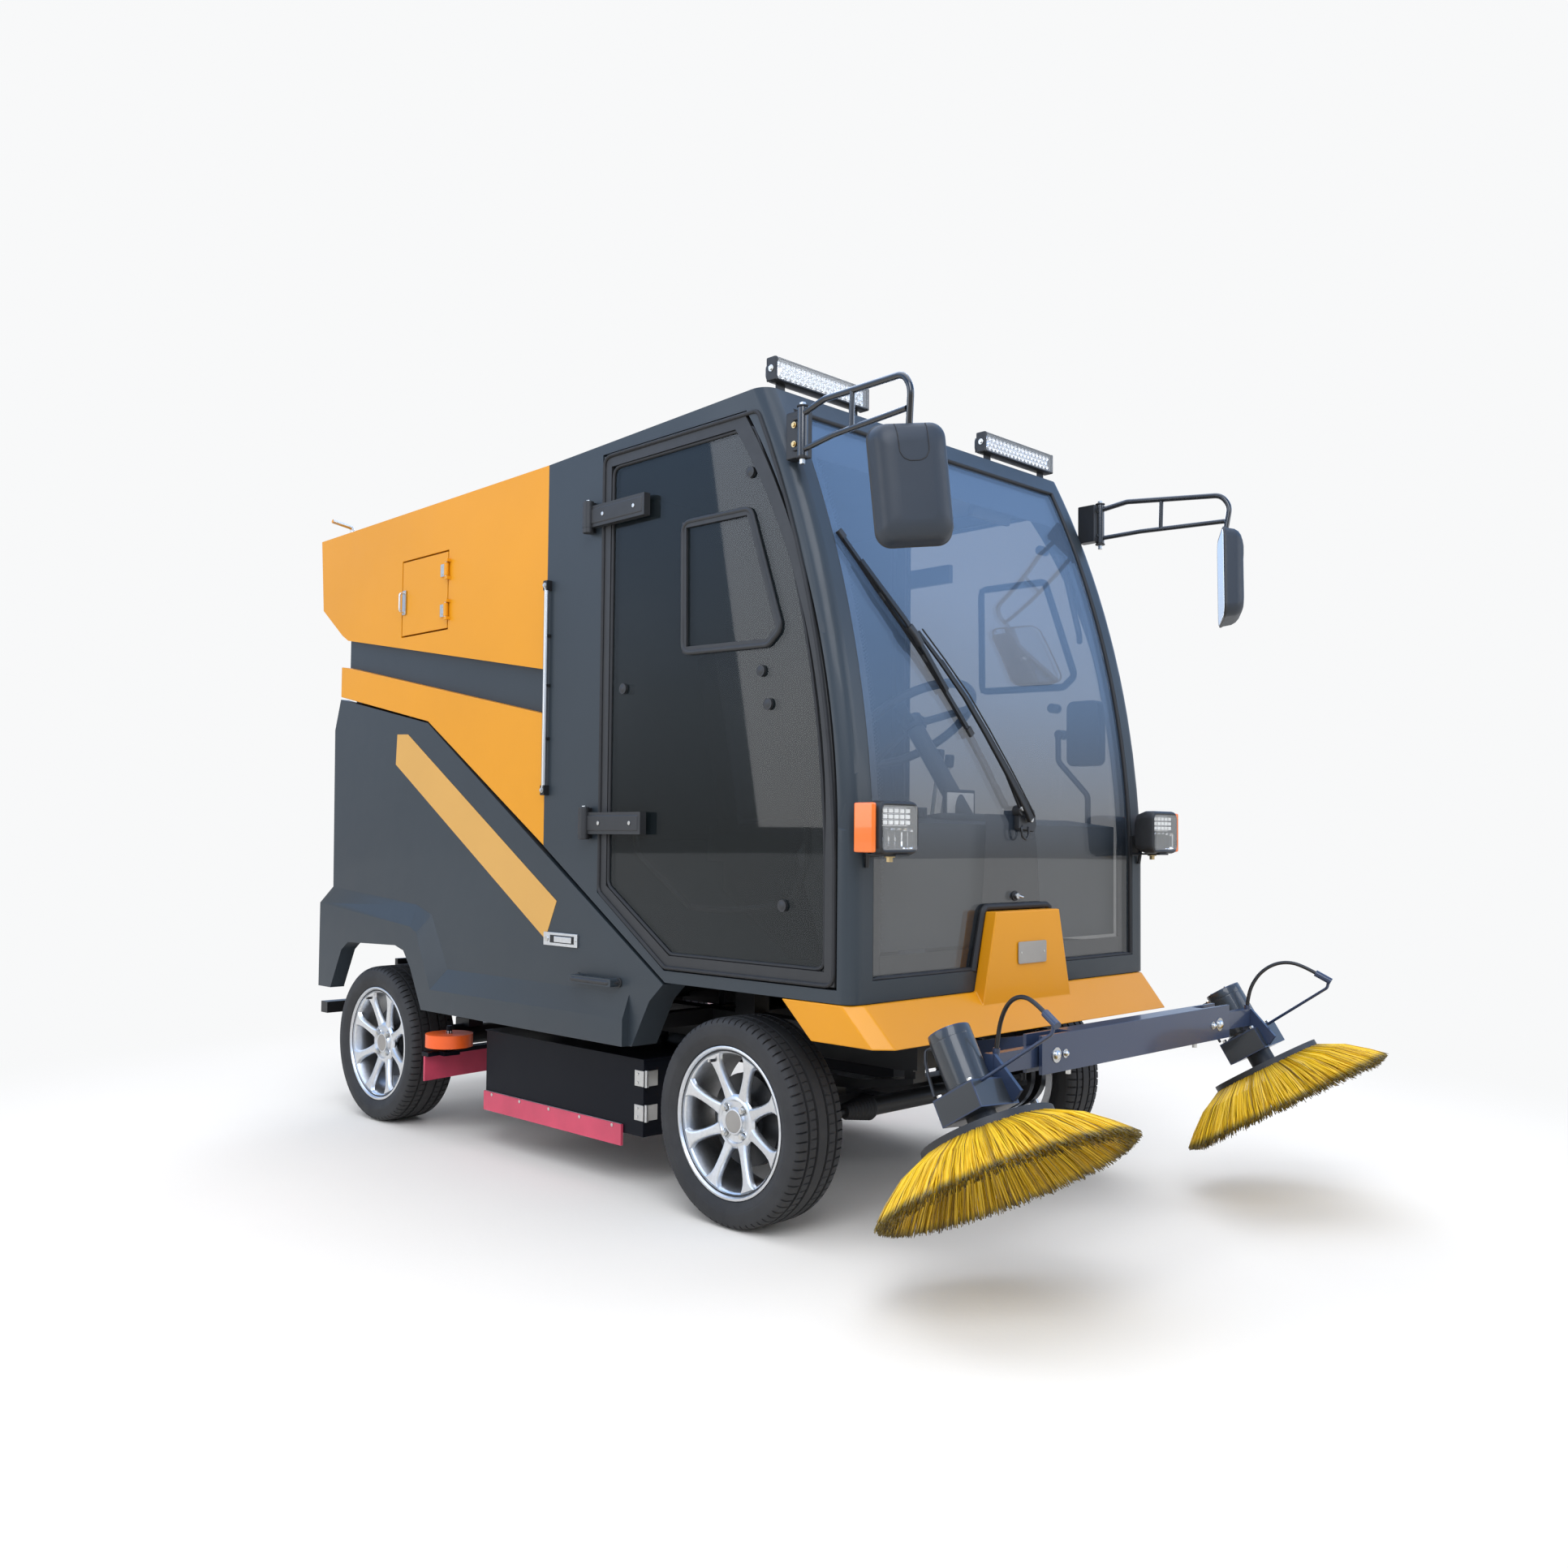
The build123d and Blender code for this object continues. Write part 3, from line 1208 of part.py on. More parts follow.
with BuildPart() as body_frame:
    with Locations(at(0, CAB_REAR + 4 + SHEET / 2, (RAIL_TOP + BAND_FRONT) / 2)):
        Box(2 * FRAME_HALF, SHEET, BAND_FRONT - RAIL_TOP)
    for side in (-1, 1):
        post_x = side * (FRAME_HALF - POST / 2)
        rail_out = RAIL_X + RAIL_WIDTH / 2
        with Locations(at(post_x, sum(SILL_STATIONS) / 2, SILL_Z)):
            Box(POST, SILL_STATIONS[1] - SILL_STATIONS[0] + POST, POST)
        with Locations([at(side * (FRAME_HALF + rail_out) / 2, s, SILL_Z) for s in SILL_STATIONS]):
            Box(FRAME_HALF - rail_out, POST, POST)
        with Locations(at(post_x, (CAB_REAR + REAR_POST) / 2 + 10, RAIL_Z)):
            Box(POST, REAR_POST - CAB_REAR - 10, POST)
        for s, foot in ((SILL_STATIONS[1], SILL_Z), (REAR_POST, CROSS_Z)):
            head = waist_foot(s - POST / 2)
            with Locations(at(post_x, s, (foot + head) / 2)):
                Box(POST, POST, head - foot)
        with Locations([at(side * (FRAME_HALF + RAIL_X) / 2, s, CROSS_Z) for s in HOPPER_STATIONS]):
            Box(FRAME_HALF - RAIL_X, POST, POST)
        with Locations([at(side * RAIL_X, s, (RAIL_TOP + CROSS_Z) / 2) for s in HOPPER_STATIONS]):
            Box(POST, POST, CROSS_Z - RAIL_TOP)
        with Locations(at(post_x, HOPPER_STATIONS[0], (SILL_Z + CROSS_Z) / 2)):
            Box(POST, POST, CROSS_Z - SILL_Z)
        for z in PANEL_HINGES:
            with Locations(at(side * PANEL_PIN_X, PANEL_PIN_S, z)):
                Cylinder(PANEL_PIN, PANEL_BARREL + 24)
            for up in (-1, 1):
                lug_in = FRAME_HALF - 14
                lug_out = PANEL_PIN_X + 3
                lug_rear = PANEL_PIN_S + 4
                lug_front = REAR_POST + POST / 2
                lug_x = side * (lug_in + lug_out) / 2
                lug_z = z + up * (PANEL_BARREL / 2 + 7)
                with Locations(at(lug_x, (lug_front + lug_rear) / 2, lug_z)):
                    Box(lug_out - lug_in, lug_rear - lug_front, 12)
finish(body_frame, "body_frame")

with BuildPart() as hopper:
    hopper_z = (HOPPER_BOTTOM + HOPPER_TOP) / 2
    with Locations(at(0, (HOPPER_FRONT + BODY_REAR) / 2, hopper_z)):
        Box(2 * HOPPER_HALF, BODY_REAR - HOPPER_FRONT, HOPPER_TOP - HOPPER_BOTTOM)
    inside = (
        2 * (HOPPER_HALF - SHEET),
        BODY_REAR - HOPPER_FRONT - SHEET,
        HOPPER_TOP - HOPPER_BOTTOM - 2 * SHEET,
    )
    with Locations(at(0, BODY_REAR - inside[1] / 2, hopper_z)):
        Box(*inside, mode=Mode.SUBTRACT)
finish(hopper, "hopper")

with BuildPart() as tailgate:
    with Locations(at(0, BODY_REAR + RUN_GAP + TAILGATE_THICK / 2, (TAILGATE_BOTTOM + TAILGATE_TOP) / 2)):
        Box(2 * TAILGATE_HALF, TAILGATE_THICK, TAILGATE_TOP - TAILGATE_BOTTOM)
    for x in GATE_HINGES:
        for out in (-1, 1):
            with Locations(at(x + out * (GATE_BARREL / 2 + 7), GATE_PIN_S, TAILGATE_TOP)):
                Box(12 + 2 * RUN_GAP, 2 * TAILGATE_THICK, 70, mode=Mode.SUBTRACT)
        with Locations(at(x, GATE_PIN_S, GATE_PIN_Z)):
            Cylinder(GATE_PIN + 6, GATE_BARREL, rotation=(0, 90, 0))
        with Locations(at(x, GATE_PIN_S, GATE_PIN_Z)):
            Cylinder(GATE_PIN + SEAT_GAP, GATE_BARREL, rotation=(0, 90, 0), mode=Mode.SUBTRACT)
finish(tailgate, "tailgate")

TAIL_LAMP = (40, 24, 220)
TAIL_LAMP_Z = 1085
with BuildPart() as tail_lamps:
    for side in (-1, 1):
        lamp_s = REAR_POST + (POST + TAIL_LAMP[1]) / 2
        with Locations(at(side * (FRAME_HALF - POST / 2), lamp_s, TAIL_LAMP_Z)):
            Box(*TAIL_LAMP)
finish(tail_lamps, "tail_lamps")

with BuildPart() as sight_tube:
    with Locations(at(-BODY_HALF - 12, 806, (1125 + 1762) / 2)):
        Cylinder(8, 1762 - 1125)
    for z in (1135, 1752):
        with Locations(at(-BODY_HALF - 10, 806, z)):
            Box(20, 20, 20)
finish(sight_tube, "sight_tube")

# ---- Front brushes ---------------------------------------------------------------
with BuildPart() as brush_beam:
    with Locations(at(0, BEAM_S, BEAM_Z)):
        Box(2 * BEAM_HALF, *BEAM_SECTION)
    for side in (-1, 1):
        with BuildSketch(side_plane(side * LIFT_X - 12)):
            Polygon(
                (BEAM_S + BEAM_SECTION[0] / 2, BEAM_Z - 30),
                (BEAM_S + BEAM_SECTION[0] / 2, BEAM_Z + 30),
                (LIFT_S, LIFT_Z + 24),
                (LIFT_S, LIFT_Z - 24),
                align=None,
            )
        extrude(amount=24)
        with BuildSketch(side_plane(side * LIFT_X - 12)):
            with Locations((LIFT_S, LIFT_Z)):
                Circle(26)
        extrude(amount=24)
        with BuildSketch(side_plane(side * LIFT_X - 13)):
            with Locations((LIFT_S, LIFT_Z)):
                Circle(LIFT_PIN + SEAT_GAP)
        extrude(amount=26, mode=Mode.SUBTRACT)
        # slot at each end for the brush arm
        with Locations(at(side * (BEAM_HALF - 60), BEAM_S, BEAM_Z)):
            Box(140, 34, 2 * BEAM_SECTION[1], mode=Mode.SUBTRACT)
        with BuildSketch(cross_plane(BEAM_S - BEAM_SECTION[0] / 2 - 8)):
            with Locations((side * BOLT_X, BOLT_Z)):
                Circle(BOLT_RADIUS)
        extrude(amount=-BEAM_SECTION[0] - 16)
finish(brush_beam, "brush_beam")



def brush_plane(side):
    """Top of a brush's disc, its normal up the drive shaft."""
    lean = radians(BRUSH_LEAN)
    splay = radians(BRUSH_SPLAY)
    normal = (-side * sin(splay), cos(splay) * sin(lean), cos(splay) * cos(lean))
    return Plane(origin=at(side * BRUSH_X, BRUSH_S, BRUSH_Z), x_dir=(0, cos(lean), -sin(lean)), z_dir=normal)


ARM_SECTION = (22, 46)
GUSSET_X = 598
GUSSET_THICK = 10
GUSSET = ((-770, 531), (-796, 531), (-866, 462), (-848, 436), (-770, 470))  # (station, height)
SPRAY_ROD = ((676, -790, 470), (666, -985, 601), (665, -989, 626))
SPRAY_RADIUS = 4
SPRAY_BEND = 14
TEE_END = (664, -996.4, 618.4)
TEE_RADIUS = 9
HOSE_FOOT = (590, -787.6, 524)
HOSE = (
    (590, -790, 542), (590, -794, 572), (595, -804, 604), (604, -824, 636),
    (617, -854, 659), (630, -890, 667), (642, -926, 658), (652, -958, 640),
)
HOSE_RADIUS = 5
GLAND_RADIUS = 8


def make_brush_arm(side):
    base = brush_plane(side)
    with BuildPart() as arm:
        with Locations(base.offset(HUB_HEIGHT + BRACKET_SIZE[2] / 2 + SEAT_GAP).location):
            Box(*BRACKET_SIZE)
        with Locations(base.offset(HUB_HEIGHT + BRACKET_SIZE[2] + MOTOR_LENGTH / 2).location):
            Cylinder(MOTOR_RADIUS, MOTOR_LENGTH)
        with Locations(at(side * (BOLT_X - 30 + 610) / 2, BEAM_S, BOLT_Z)):
            Box(610 - BOLT_X + 30, *ARM_SECTION)
        with BuildSketch(cross_plane(BEAM_S + BEAM_SECTION[0])):
            with Locations((side * BOLT_X, BOLT_Z)):
                Circle(BOLT_RADIUS + SEAT_GAP)
        extrude(amount=2 * BEAM_SECTION[0], mode=Mode.SUBTRACT)
        with BuildSketch(side_plane(side * GUSSET_X)):
            Polygon(*GUSSET, align=None)
        extrude(amount=side * GUSSET_THICK)
        tube([at(side * x, s, z) for x, s, z in SPRAY_ROD], SPRAY_RADIUS, SPRAY_BEND)
        end = HOSE[-1]
        for start, stop, radius in ((end, TEE_END, TEE_RADIUS), (HOSE_FOOT, HOSE[0], GLAND_RADIUS)):
            a = Vector(*at(side * start[0], start[1], start[2]))
            b = Vector(*at(side * stop[0], stop[1], stop[2]))
            with BuildSketch(Plane(origin=a, z_dir=b - a)):
                Circle(radius)
            extrude(amount=(b - a).length)
    return arm


def make_hose(side):
    """Spray hose from its gland on the arm over to the nozzle's tee."""
    points = [Vector(*at(side * x, s, z)) for x, s, z in HOSE]
    runs = [b - a for a, b in zip(points, points[1:])]
    radii = []
    for a, b in zip(runs, runs[1:]):
        half = radians(a.get_angle(b) / 2)
        radii.append(0.45 * min(a.length, b.length) / tan(half))
    print("hose radii", [round(r) for r in radii])
    with BuildPart() as hose:
        with BuildLine() as path:
            FilletPolyline(*points, radius=radii)
        with BuildSketch(Plane(origin=path.line @ 0, z_dir=path.line % 0)) as section:
            Circle(HOSE_RADIUS)
        sweep(sections=section.sketch, path=path.line)
    straight = section.sketch.area * sum(edge.length for edge in path.edges())
    print("hose volume over its section times length", round(hose.part.volume / straight, 4))
    return hose


def make_brush_disc(side):
    base = brush_plane(side)
    with BuildPart() as disc:
        with BuildSketch(base):
            Circle(DISC_RADIUS)
        extrude(amount=-DISC_THICK)
        with BuildSketch(base):
            Circle(34)
        extrude(amount=HUB_HEIGHT)
    return disc


def make_bristles(side):
    base = brush_plane(side)
    profile = Plane(origin=base.origin, x_dir=base.x_dir, z_dir=-base.y_dir)
    with BuildPart() as bristles:
        with BuildSketch(profile):
            Polygon(
                (DISC_RADIUS - 34, -DISC_THICK),
                (DISC_RADIUS, -DISC_THICK),
                (TIP_RADIUS, -BRISTLE_DROP),
                (TIP_RADIUS - 62, -BRISTLE_DROP - 34),
                align=None,
            )
        revolve(axis=Axis(base.origin, base.z_dir))
    return bristles


for name, side in SIDES:
    finish(make_brush_arm(side), f"brush_arm_{name}")
    finish(make_brush_disc(side), f"brush_disc_{name}")
    finish(make_bristles(side), f"bristles_{name}")
    finish(make_hose(side), f"hose_{name}")

# ---- Scrubbing deck, squeegee and guide rollers ------------------------------------
with BuildPart() as scrub_deck:
    for side in (-1, 1):
        deck_z = (DECK_BOTTOM + DECK_TOP) / 2
        with Locations(at(side * (DECK_X - 60), (DECK_FRONT + DECK_REAR) / 2, deck_z)):
            Box(120, DECK_REAR - DECK_FRONT, DECK_TOP - DECK_BOTTOM)
    with Locations(at(0, (DECK_FRONT + DECK_REAR) / 2, DECK_TOP - 15)):
        Box(2 * DECK_X - 200, DECK_REAR - DECK_FRONT - 80, 30)
    post_top = RAIL_TOP + DECK_TRAVEL
    post_z = (DECK_TOP + post_top) / 2
    with Locations([at(x, s, post_z) for x in (-DECK_POST_X, DECK_POST_X) for s in DECK_POSTS]):
        Cylinder(POST_RADIUS, post_top - DECK_TOP)
finish(scrub_deck, "scrub_deck")

with BuildPart() as deck_skirts:
    for side in (-1, 1):
        with Locations(at(side * (DECK_X + 4), (DECK_FRONT + 90 + DECK_REAR) / 2, SKIRT_BOTTOM + 30)):
            Box(8, DECK_REAR - DECK_FRONT - 90, 60)
finish(deck_skirts, "deck_skirts")


def squeegee_arc(shift):
    """The squeegee's bow seen from above, moved rearward by shift."""
    return ThreePointArc(
        (-SQUEEGEE_HALF, SQUEEGEE_S - 30 + shift),
        (0, SQUEEGEE_S + 30 + shift),
        (SQUEEGEE_HALF, SQUEEGEE_S - 30 + shift),
    )


with BuildPart() as squeegee_blade:
    with BuildSketch(level_plane(SQUEEGEE_BOTTOM)):
        with BuildLine():
            front = squeegee_arc(0)
            rear = squeegee_arc(8)
            Line(front @ 0, rear @ 0)
            Line(front @ 1, rear @ 1)
        make_face()
    extrude(amount=80)
finish(squeegee_blade, "squeegee_blade")

with BuildPart() as squeegee_frame:
    with BuildSketch(level_plane(SQUEEGEE_BOTTOM + 80)):
        with BuildLine():
            front = squeegee_arc(-20)
            rear = squeegee_arc(20)
            Line(front @ 0, rear @ 0)
            Line(front @ 1, rear @ 1)
        make_face()
    extrude(amount=14)
    for side in (-1, 1):
        with Locations(at(side * ROLLER_X, (ROLLER_S + SQUEEGEE_S) / 2, SQUEEGEE_BOTTOM + 80 + 7)):
            Box(60, SQUEEGEE_S - ROLLER_S + 40, 14)
        with Locations(at(side * ROLLER_X, ROLLER_S, ROLLER_Z)):
            Cylinder(ROLLER_PIN, ROLLER_THICK + 50)
    with Locations(at(0, SQUEEGEE_S, SQUEEGEE_BOTTOM + 110)):
        Box(300, 60, 40)
    post_foot = SQUEEGEE_BOTTOM + 130
    post_top = RAIL_BOTTOM + RAIL_HEIGHT / 2 + SQUEEGEE_TRAVEL
    post_z = (post_foot + post_top) / 2
    with Locations([at(x, SQUEEGEE_S, post_z) for x in (-SQUEEGEE_POST_X, SQUEEGEE_POST_X)]):
        Cylinder(POST_RADIUS, post_top - post_foot)
finish(squeegee_frame, "squeegee_frame")

for name, side in SIDES:
    with BuildPart() as guide_roller:
        with Locations(at(side * ROLLER_X, ROLLER_S, ROLLER_Z)):
            Cylinder(ROLLER_RADIUS, ROLLER_THICK)
            Cylinder(ROLLER_PIN + SEAT_GAP, ROLLER_THICK + 2, mode=Mode.SUBTRACT)
    finish(guide_roller, f"guide_roller_{name}")
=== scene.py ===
# Looks of the compact road sweeper: materials, detailed pieces, lights and camera.
# Places are written as (x, s, z) in millimetres, s being the distance behind the front axle.
import json
import math
import random

import bmesh
import bpy
from mathutils import Matrix, Vector


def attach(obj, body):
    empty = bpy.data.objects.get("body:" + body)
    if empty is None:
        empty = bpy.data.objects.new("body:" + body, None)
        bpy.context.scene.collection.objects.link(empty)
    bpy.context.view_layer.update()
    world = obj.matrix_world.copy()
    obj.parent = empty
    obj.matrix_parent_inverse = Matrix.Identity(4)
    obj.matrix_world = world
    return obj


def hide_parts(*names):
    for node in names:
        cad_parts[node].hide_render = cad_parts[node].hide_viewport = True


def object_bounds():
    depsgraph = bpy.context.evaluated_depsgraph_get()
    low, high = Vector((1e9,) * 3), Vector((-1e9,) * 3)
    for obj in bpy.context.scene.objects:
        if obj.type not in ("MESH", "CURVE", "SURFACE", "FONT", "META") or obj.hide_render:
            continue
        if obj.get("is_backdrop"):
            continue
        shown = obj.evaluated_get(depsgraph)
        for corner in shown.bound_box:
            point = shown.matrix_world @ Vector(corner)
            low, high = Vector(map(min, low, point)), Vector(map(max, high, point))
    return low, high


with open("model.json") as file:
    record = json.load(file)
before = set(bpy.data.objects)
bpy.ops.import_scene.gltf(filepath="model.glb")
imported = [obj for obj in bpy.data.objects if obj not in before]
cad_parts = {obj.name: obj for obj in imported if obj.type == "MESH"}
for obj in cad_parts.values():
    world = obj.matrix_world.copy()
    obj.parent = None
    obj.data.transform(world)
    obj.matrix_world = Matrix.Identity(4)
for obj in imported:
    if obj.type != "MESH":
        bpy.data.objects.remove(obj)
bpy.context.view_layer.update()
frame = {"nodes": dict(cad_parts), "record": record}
nodes = frame["nodes"]

AXLE_Y = -610
UPWARD = Vector((0, 0, 1))
SIDES = (("right", -1), ("left", 1))
rng = random.Random(7)


def P(x, s, z):
    """A place in metres from millimetres and a station."""
    return Vector((x, s + AXLE_Y, z)) / 1000


# ---- Materials ----
def feed(tree, node, inputs):
    """Give each input its value, or link the output that feeds it."""
    for socket, value in inputs.items():
        if isinstance(value, bpy.types.NodeSocket):
            tree.links.new(value, node.inputs[socket])
        else:
            node.inputs[socket].default_value = value


def add(tree, kind, inputs, **settings):
    """New shader node with its settings and inputs."""
    node = tree.nodes.new(f"ShaderNode{kind}")
    for key, value in settings.items():
        setattr(node, key, value)
    feed(tree, node, inputs)
    return node


def new_material(name):
    mat = bpy.data.materials.new(name)
    mat.use_nodes = True
    return mat, mat.node_tree, mat.node_tree.nodes["Principled BSDF"]


def noise(tree, scale, detail=4.0, stretch=None):
    place = add(tree, "TexCoord", {}).outputs["Object"]
    if stretch:
        place = add(tree, "Mapping", {"Scale": stretch, "Vector": place}).outputs["Vector"]
    return add(tree, "TexNoise", {"Scale": scale, "Detail": detail, "Vector": place}).outputs["Fac"]


def ramp(tree, fac, stops):
    """Colours along a factor; the stops are (place, colour)."""
    node = add(tree, "ValToRGB", {"Fac": fac})
    elements = node.color_ramp.elements
    elements[0].position, elements[0].color = stops[0][0], (*stops[0][1], 1)
    elements[1].position, elements[1].color = stops[-1][0], (*stops[-1][1], 1)
    for position, color in stops[1:-1]:
        elements.new(position).color = (*color, 1)
    return node.outputs["Color"]


def drift(tree, fac, color, vary):
    """The colour, a little darker and a little lighter along a factor."""
    return ramp(tree, fac, [(0.3, scaled(color, 1 - vary)), (0.7, scaled(color, 1 + vary))])


def scaled(color, k):
    return tuple(min(1.0, c * k) for c in color)


def bump(tree, shader, height, strength, distance):
    node = add(tree, "Bump", {"Strength": strength, "Distance": distance, "Height": height})
    feed(tree, shader, {"Normal": node.outputs["Normal"]})


def span(tree, fac, low, high):
    """A factor from 0 to 1 spread between low and high."""
    return add(tree, "MapRange", {"To Min": low, "To Max": high, "Value": fac}).outputs["Result"]


def height_in(tree, place, low, high, top=1.0):
    """Rises from 0 at the height low to top at the height high, in metres."""
    split = add(tree, "SeparateXYZ", {"Vector": place})
    inputs = {"From Min": low, "From Max": high, "To Max": top, "Value": split.outputs["Z"]}
    return add(tree, "MapRange", inputs).outputs["Result"]


DUST = (0.30, 0.27, 0.23, 1)
DUST_NONE, DUST_FULL = 0.75, 0.12       # heights between which dust thickens
PEEL_GRAIN, PEEL_DEPTH = 260, 0.0004
GRAIN_DEPTH = 0.0003


def paint(name, color, rough, coat, vary=0.07, peel=0.05, grime=0.0, gloss=0.32):
    """Sprayed paint: faint colour drift, orange peel, a clear coat and dust low down."""
    mat, tree, shader = new_material(name)
    base = drift(tree, noise(tree, 1.7, 3), color, vary)
    if grime:
        place = add(tree, "NewGeometry", {}).outputs["Position"]
        low = height_in(tree, place, DUST_NONE, DUST_FULL, grime)
        times = add(tree, "Math", {0: low, 1: noise(tree, 9, 6)}, operation="MULTIPLY")
        inputs = {"Factor": times.outputs["Value"], "A": base, "B": DUST}
        base = add(tree, "Mix", inputs, data_type="RGBA").outputs["Result"]
    feed(tree, shader, {
        "Base Color": base,
        "Roughness": span(tree, noise(tree, 14, 5), rough * 0.85, rough * 1.2),
        "Coat Weight": coat,
        "Coat Roughness": 0.08,
        "Specular IOR Level": gloss,
    })
    bump(tree, shader, noise(tree, PEEL_GRAIN, 2), peel, PEEL_DEPTH)
    return mat


def moulded(name, color, rough=0.5, grain=900, depth=0.25, vary=0.12, coat=0.0):
    """Moulded plastic or rubber with a fine grain."""
    mat, tree, shader = new_material(name)
    feed(tree, shader, {
        "Base Color": drift(tree, noise(tree, 6, 4), color, vary),
        "Roughness": span(tree, noise(tree, 30, 4), rough * 0.85, min(1, rough * 1.15)),
        "Coat Weight": coat,
    })
    bump(tree, shader, noise(tree, grain, 2), depth, GRAIN_DEPTH)
    return mat


def metal(name, color, rough, stretch=None, depth=0.05, vary=0.06):
    """Bare metal with a fine grain, drawn out in one direction by stretch."""
    mat, tree, shader = new_material(name)
    grainy = noise(tree, 120, 4, stretch=stretch)
    feed(tree, shader, {
        "Metallic": 1.0,
        "Base Color": drift(tree, grainy, color, vary),
        "Roughness": span(tree, noise(tree, 22, 4), rough * 0.8, rough * 1.25),
    })
    bump(tree, shader, grainy, depth, GRAIN_DEPTH)
    return mat


GLASS_LOW, GLASS_HIGH = 0.95, 1.65      # heights over which the glass colour runs from its low colour to its top colour; on the windscreen painted shade below and a painted sky reflection above


def glass_material(name, top_colour, alpha, ior=1.9, low=None):
    """Safety glass as a thin tinted sheet: see-through colour under a gloss. Given a low colour, it runs
    from painted shade low down to a painted sky reflection higher up.
    """
    mat, tree, shader = new_material(name)
    place = add(tree, "TexCoord", {}).outputs["Object"]
    # with a low colour the glass is painted: dark lower down as painted shade, blue higher up as a painted
    # reflection of the sky
    rise = height_in(tree, place, GLASS_LOW, GLASS_HIGH)
    shader.inputs["Base Color"].default_value = (*top_colour, 1)
    feed(tree, shader, {
        "Base Color": ramp(tree, rise, [(0.0, low or top_colour), (1.0, top_colour)]),
        "Roughness": 0.02,
        "IOR": ior,
        "Specular IOR Level": 0.9,
        "Alpha": alpha,
    })
    mat.surface_render_method = "BLENDED"
    return mat


GREY = (0.027, 0.037, 0.048)
YELLOW = (0.70, 0.295, 0.006)
M = {
    "grey": paint("grey_paint", GREY, 0.40, 0.10, grime=0.05),
    "yellow": paint("yellow_paint", YELLOW, 0.38, 0.12, vary=0.04, grime=0.03),
    "tan": paint("tan_stripe", (0.62, 0.35, 0.09), 0.45, 0.1, vary=0.05),
    "brush_blue": paint("brush_blue_paint", (0.026, 0.042, 0.092), 0.32, 0.45, vary=0.1, peel=0.12),
    "navy": paint("deck_paint", (0.004, 0.0055, 0.010), 0.34, 0.0, grime=0.004, gloss=0.10),
    "black": paint("black_steel", (0.012, 0.013, 0.015), 0.42, 0.1, vary=0.2, peel=0.2, grime=0.04),
    "dark_metal": paint("motor_paint", (0.028, 0.034, 0.042), 0.33, 0.5, vary=0.12, peel=0.1),
    "gloss_black": paint("gloss_black_tube", (0.01, 0.0105, 0.012), 0.22, 0.8, vary=0.1, peel=0.06),
    "plastic": moulded("black_plastic", (0.018, 0.019, 0.021)),
    "mirror_shell": moulded("mirror_shell", (0.018, 0.025, 0.036), grain=600, depth=0.4),
    "inner": moulded("cab_trim", (0.06, 0.066, 0.072), 0.6, grain=500, depth=0.4),
    "rubber": moulded("rubber_seal", (0.012, 0.012, 0.013), 0.62, grain=400),
    "tyre": moulded("tyre_rubber", (0.022, 0.022, 0.023), 0.72, grain=300, depth=0.5, vary=0.3),
    "pink": moulded("pink_polyurethane", (0.56, 0.06, 0.12), grain=60, depth=0.3, vary=0.15),
    "orange": moulded("orange_polyurethane", (0.85, 0.12, 0.015), 0.42, grain=80, depth=0.2),
    "seat": moulded("seat_vinyl", (0.02, 0.021, 0.023), 0.55, grain=220, depth=0.6),
    "led": moulded("led_chip", (0.92, 0.94, 0.96), 0.25, grain=50, depth=0.05, vary=0.03),
    "frit": moulded("black_ceramic_border", (0.006, 0.006, 0.007), 0.25, grain=200, depth=0.02),
    "cable": moulded("black_cable", (0.012, 0.012, 0.013), 0.42, grain=500, depth=0.1),
    "amber": moulded("amber_lens", (0.85, 0.17, 0.01), 0.18, grain=40, depth=0.1, coat=0.8),
    "red": moulded("red_lens", (0.55, 0.01, 0.01), 0.18, grain=40, depth=0.1, coat=0.8),
    "plate": moulded("blank_plate", (0.30, 0.29, 0.28), 0.45, grain=80, depth=0.1),
    "alloy": metal("silver_alloy", (0.66, 0.67, 0.68), 0.34),
    "steel": metal("plain_steel", (0.55, 0.55, 0.54), 0.32, stretch=(1, 1, 8)),
    "zinc": metal("zinc_bolts", (0.62, 0.61, 0.58), 0.3),
    "brass": metal("brass_nozzle", (0.55, 0.42, 0.22), 0.35),
    "reflector": metal("lamp_reflector", (0.85, 0.86, 0.88), 0.12),
    "mirror": metal("mirror_glass", (0.82, 0.84, 0.86), 0.03, depth=0.0, vary=0.01),
    # windscreen: painted shade in its lower part, a painted reflection of the blue sky in its upper part
    "glass": glass_material(
        "windscreen_glass", (0.15, 0.25, 0.44), 0.30, ior=2.1, low=(0.035, 0.045, 0.058),
    ),
    "door_glass": glass_material("door_glass", (0.010, 0.015, 0.018), 0.50, ior=1.4),
    "lens": glass_material("clear_lens", (0.80, 0.84, 0.88), 0.16),
}

BY_SLOT = {
    "tyre": "tyre", "alloy": "alloy", "black_steel": "black", "body_grey": "grey",
    "body_yellow": "yellow", "glass": "glass", "black_plastic": "plastic", "lens_clear": "lens",
    "lens_amber": "amber", "lens_red": "red", "mirror": "mirror", "seat_cover": "seat",
    "brush_grey": "brush_blue", "bristle": "yellow", "pink_rubber": "pink",
    "orange_roller": "orange", "bare_steel": "steel",
}
SPECIAL = {
    "dashboard": "inner", "scrub_deck": "navy",
    "door_glass_right": "door_glass", "door_glass_left": "door_glass",
}
for row in frame["record"]["subparts"]:
    key = SPECIAL.get(row["node"], BY_SLOT[row["material_slot"]])
    slots = nodes[row["node"]].data.materials
    slots.clear()
    slots.append(M[key])

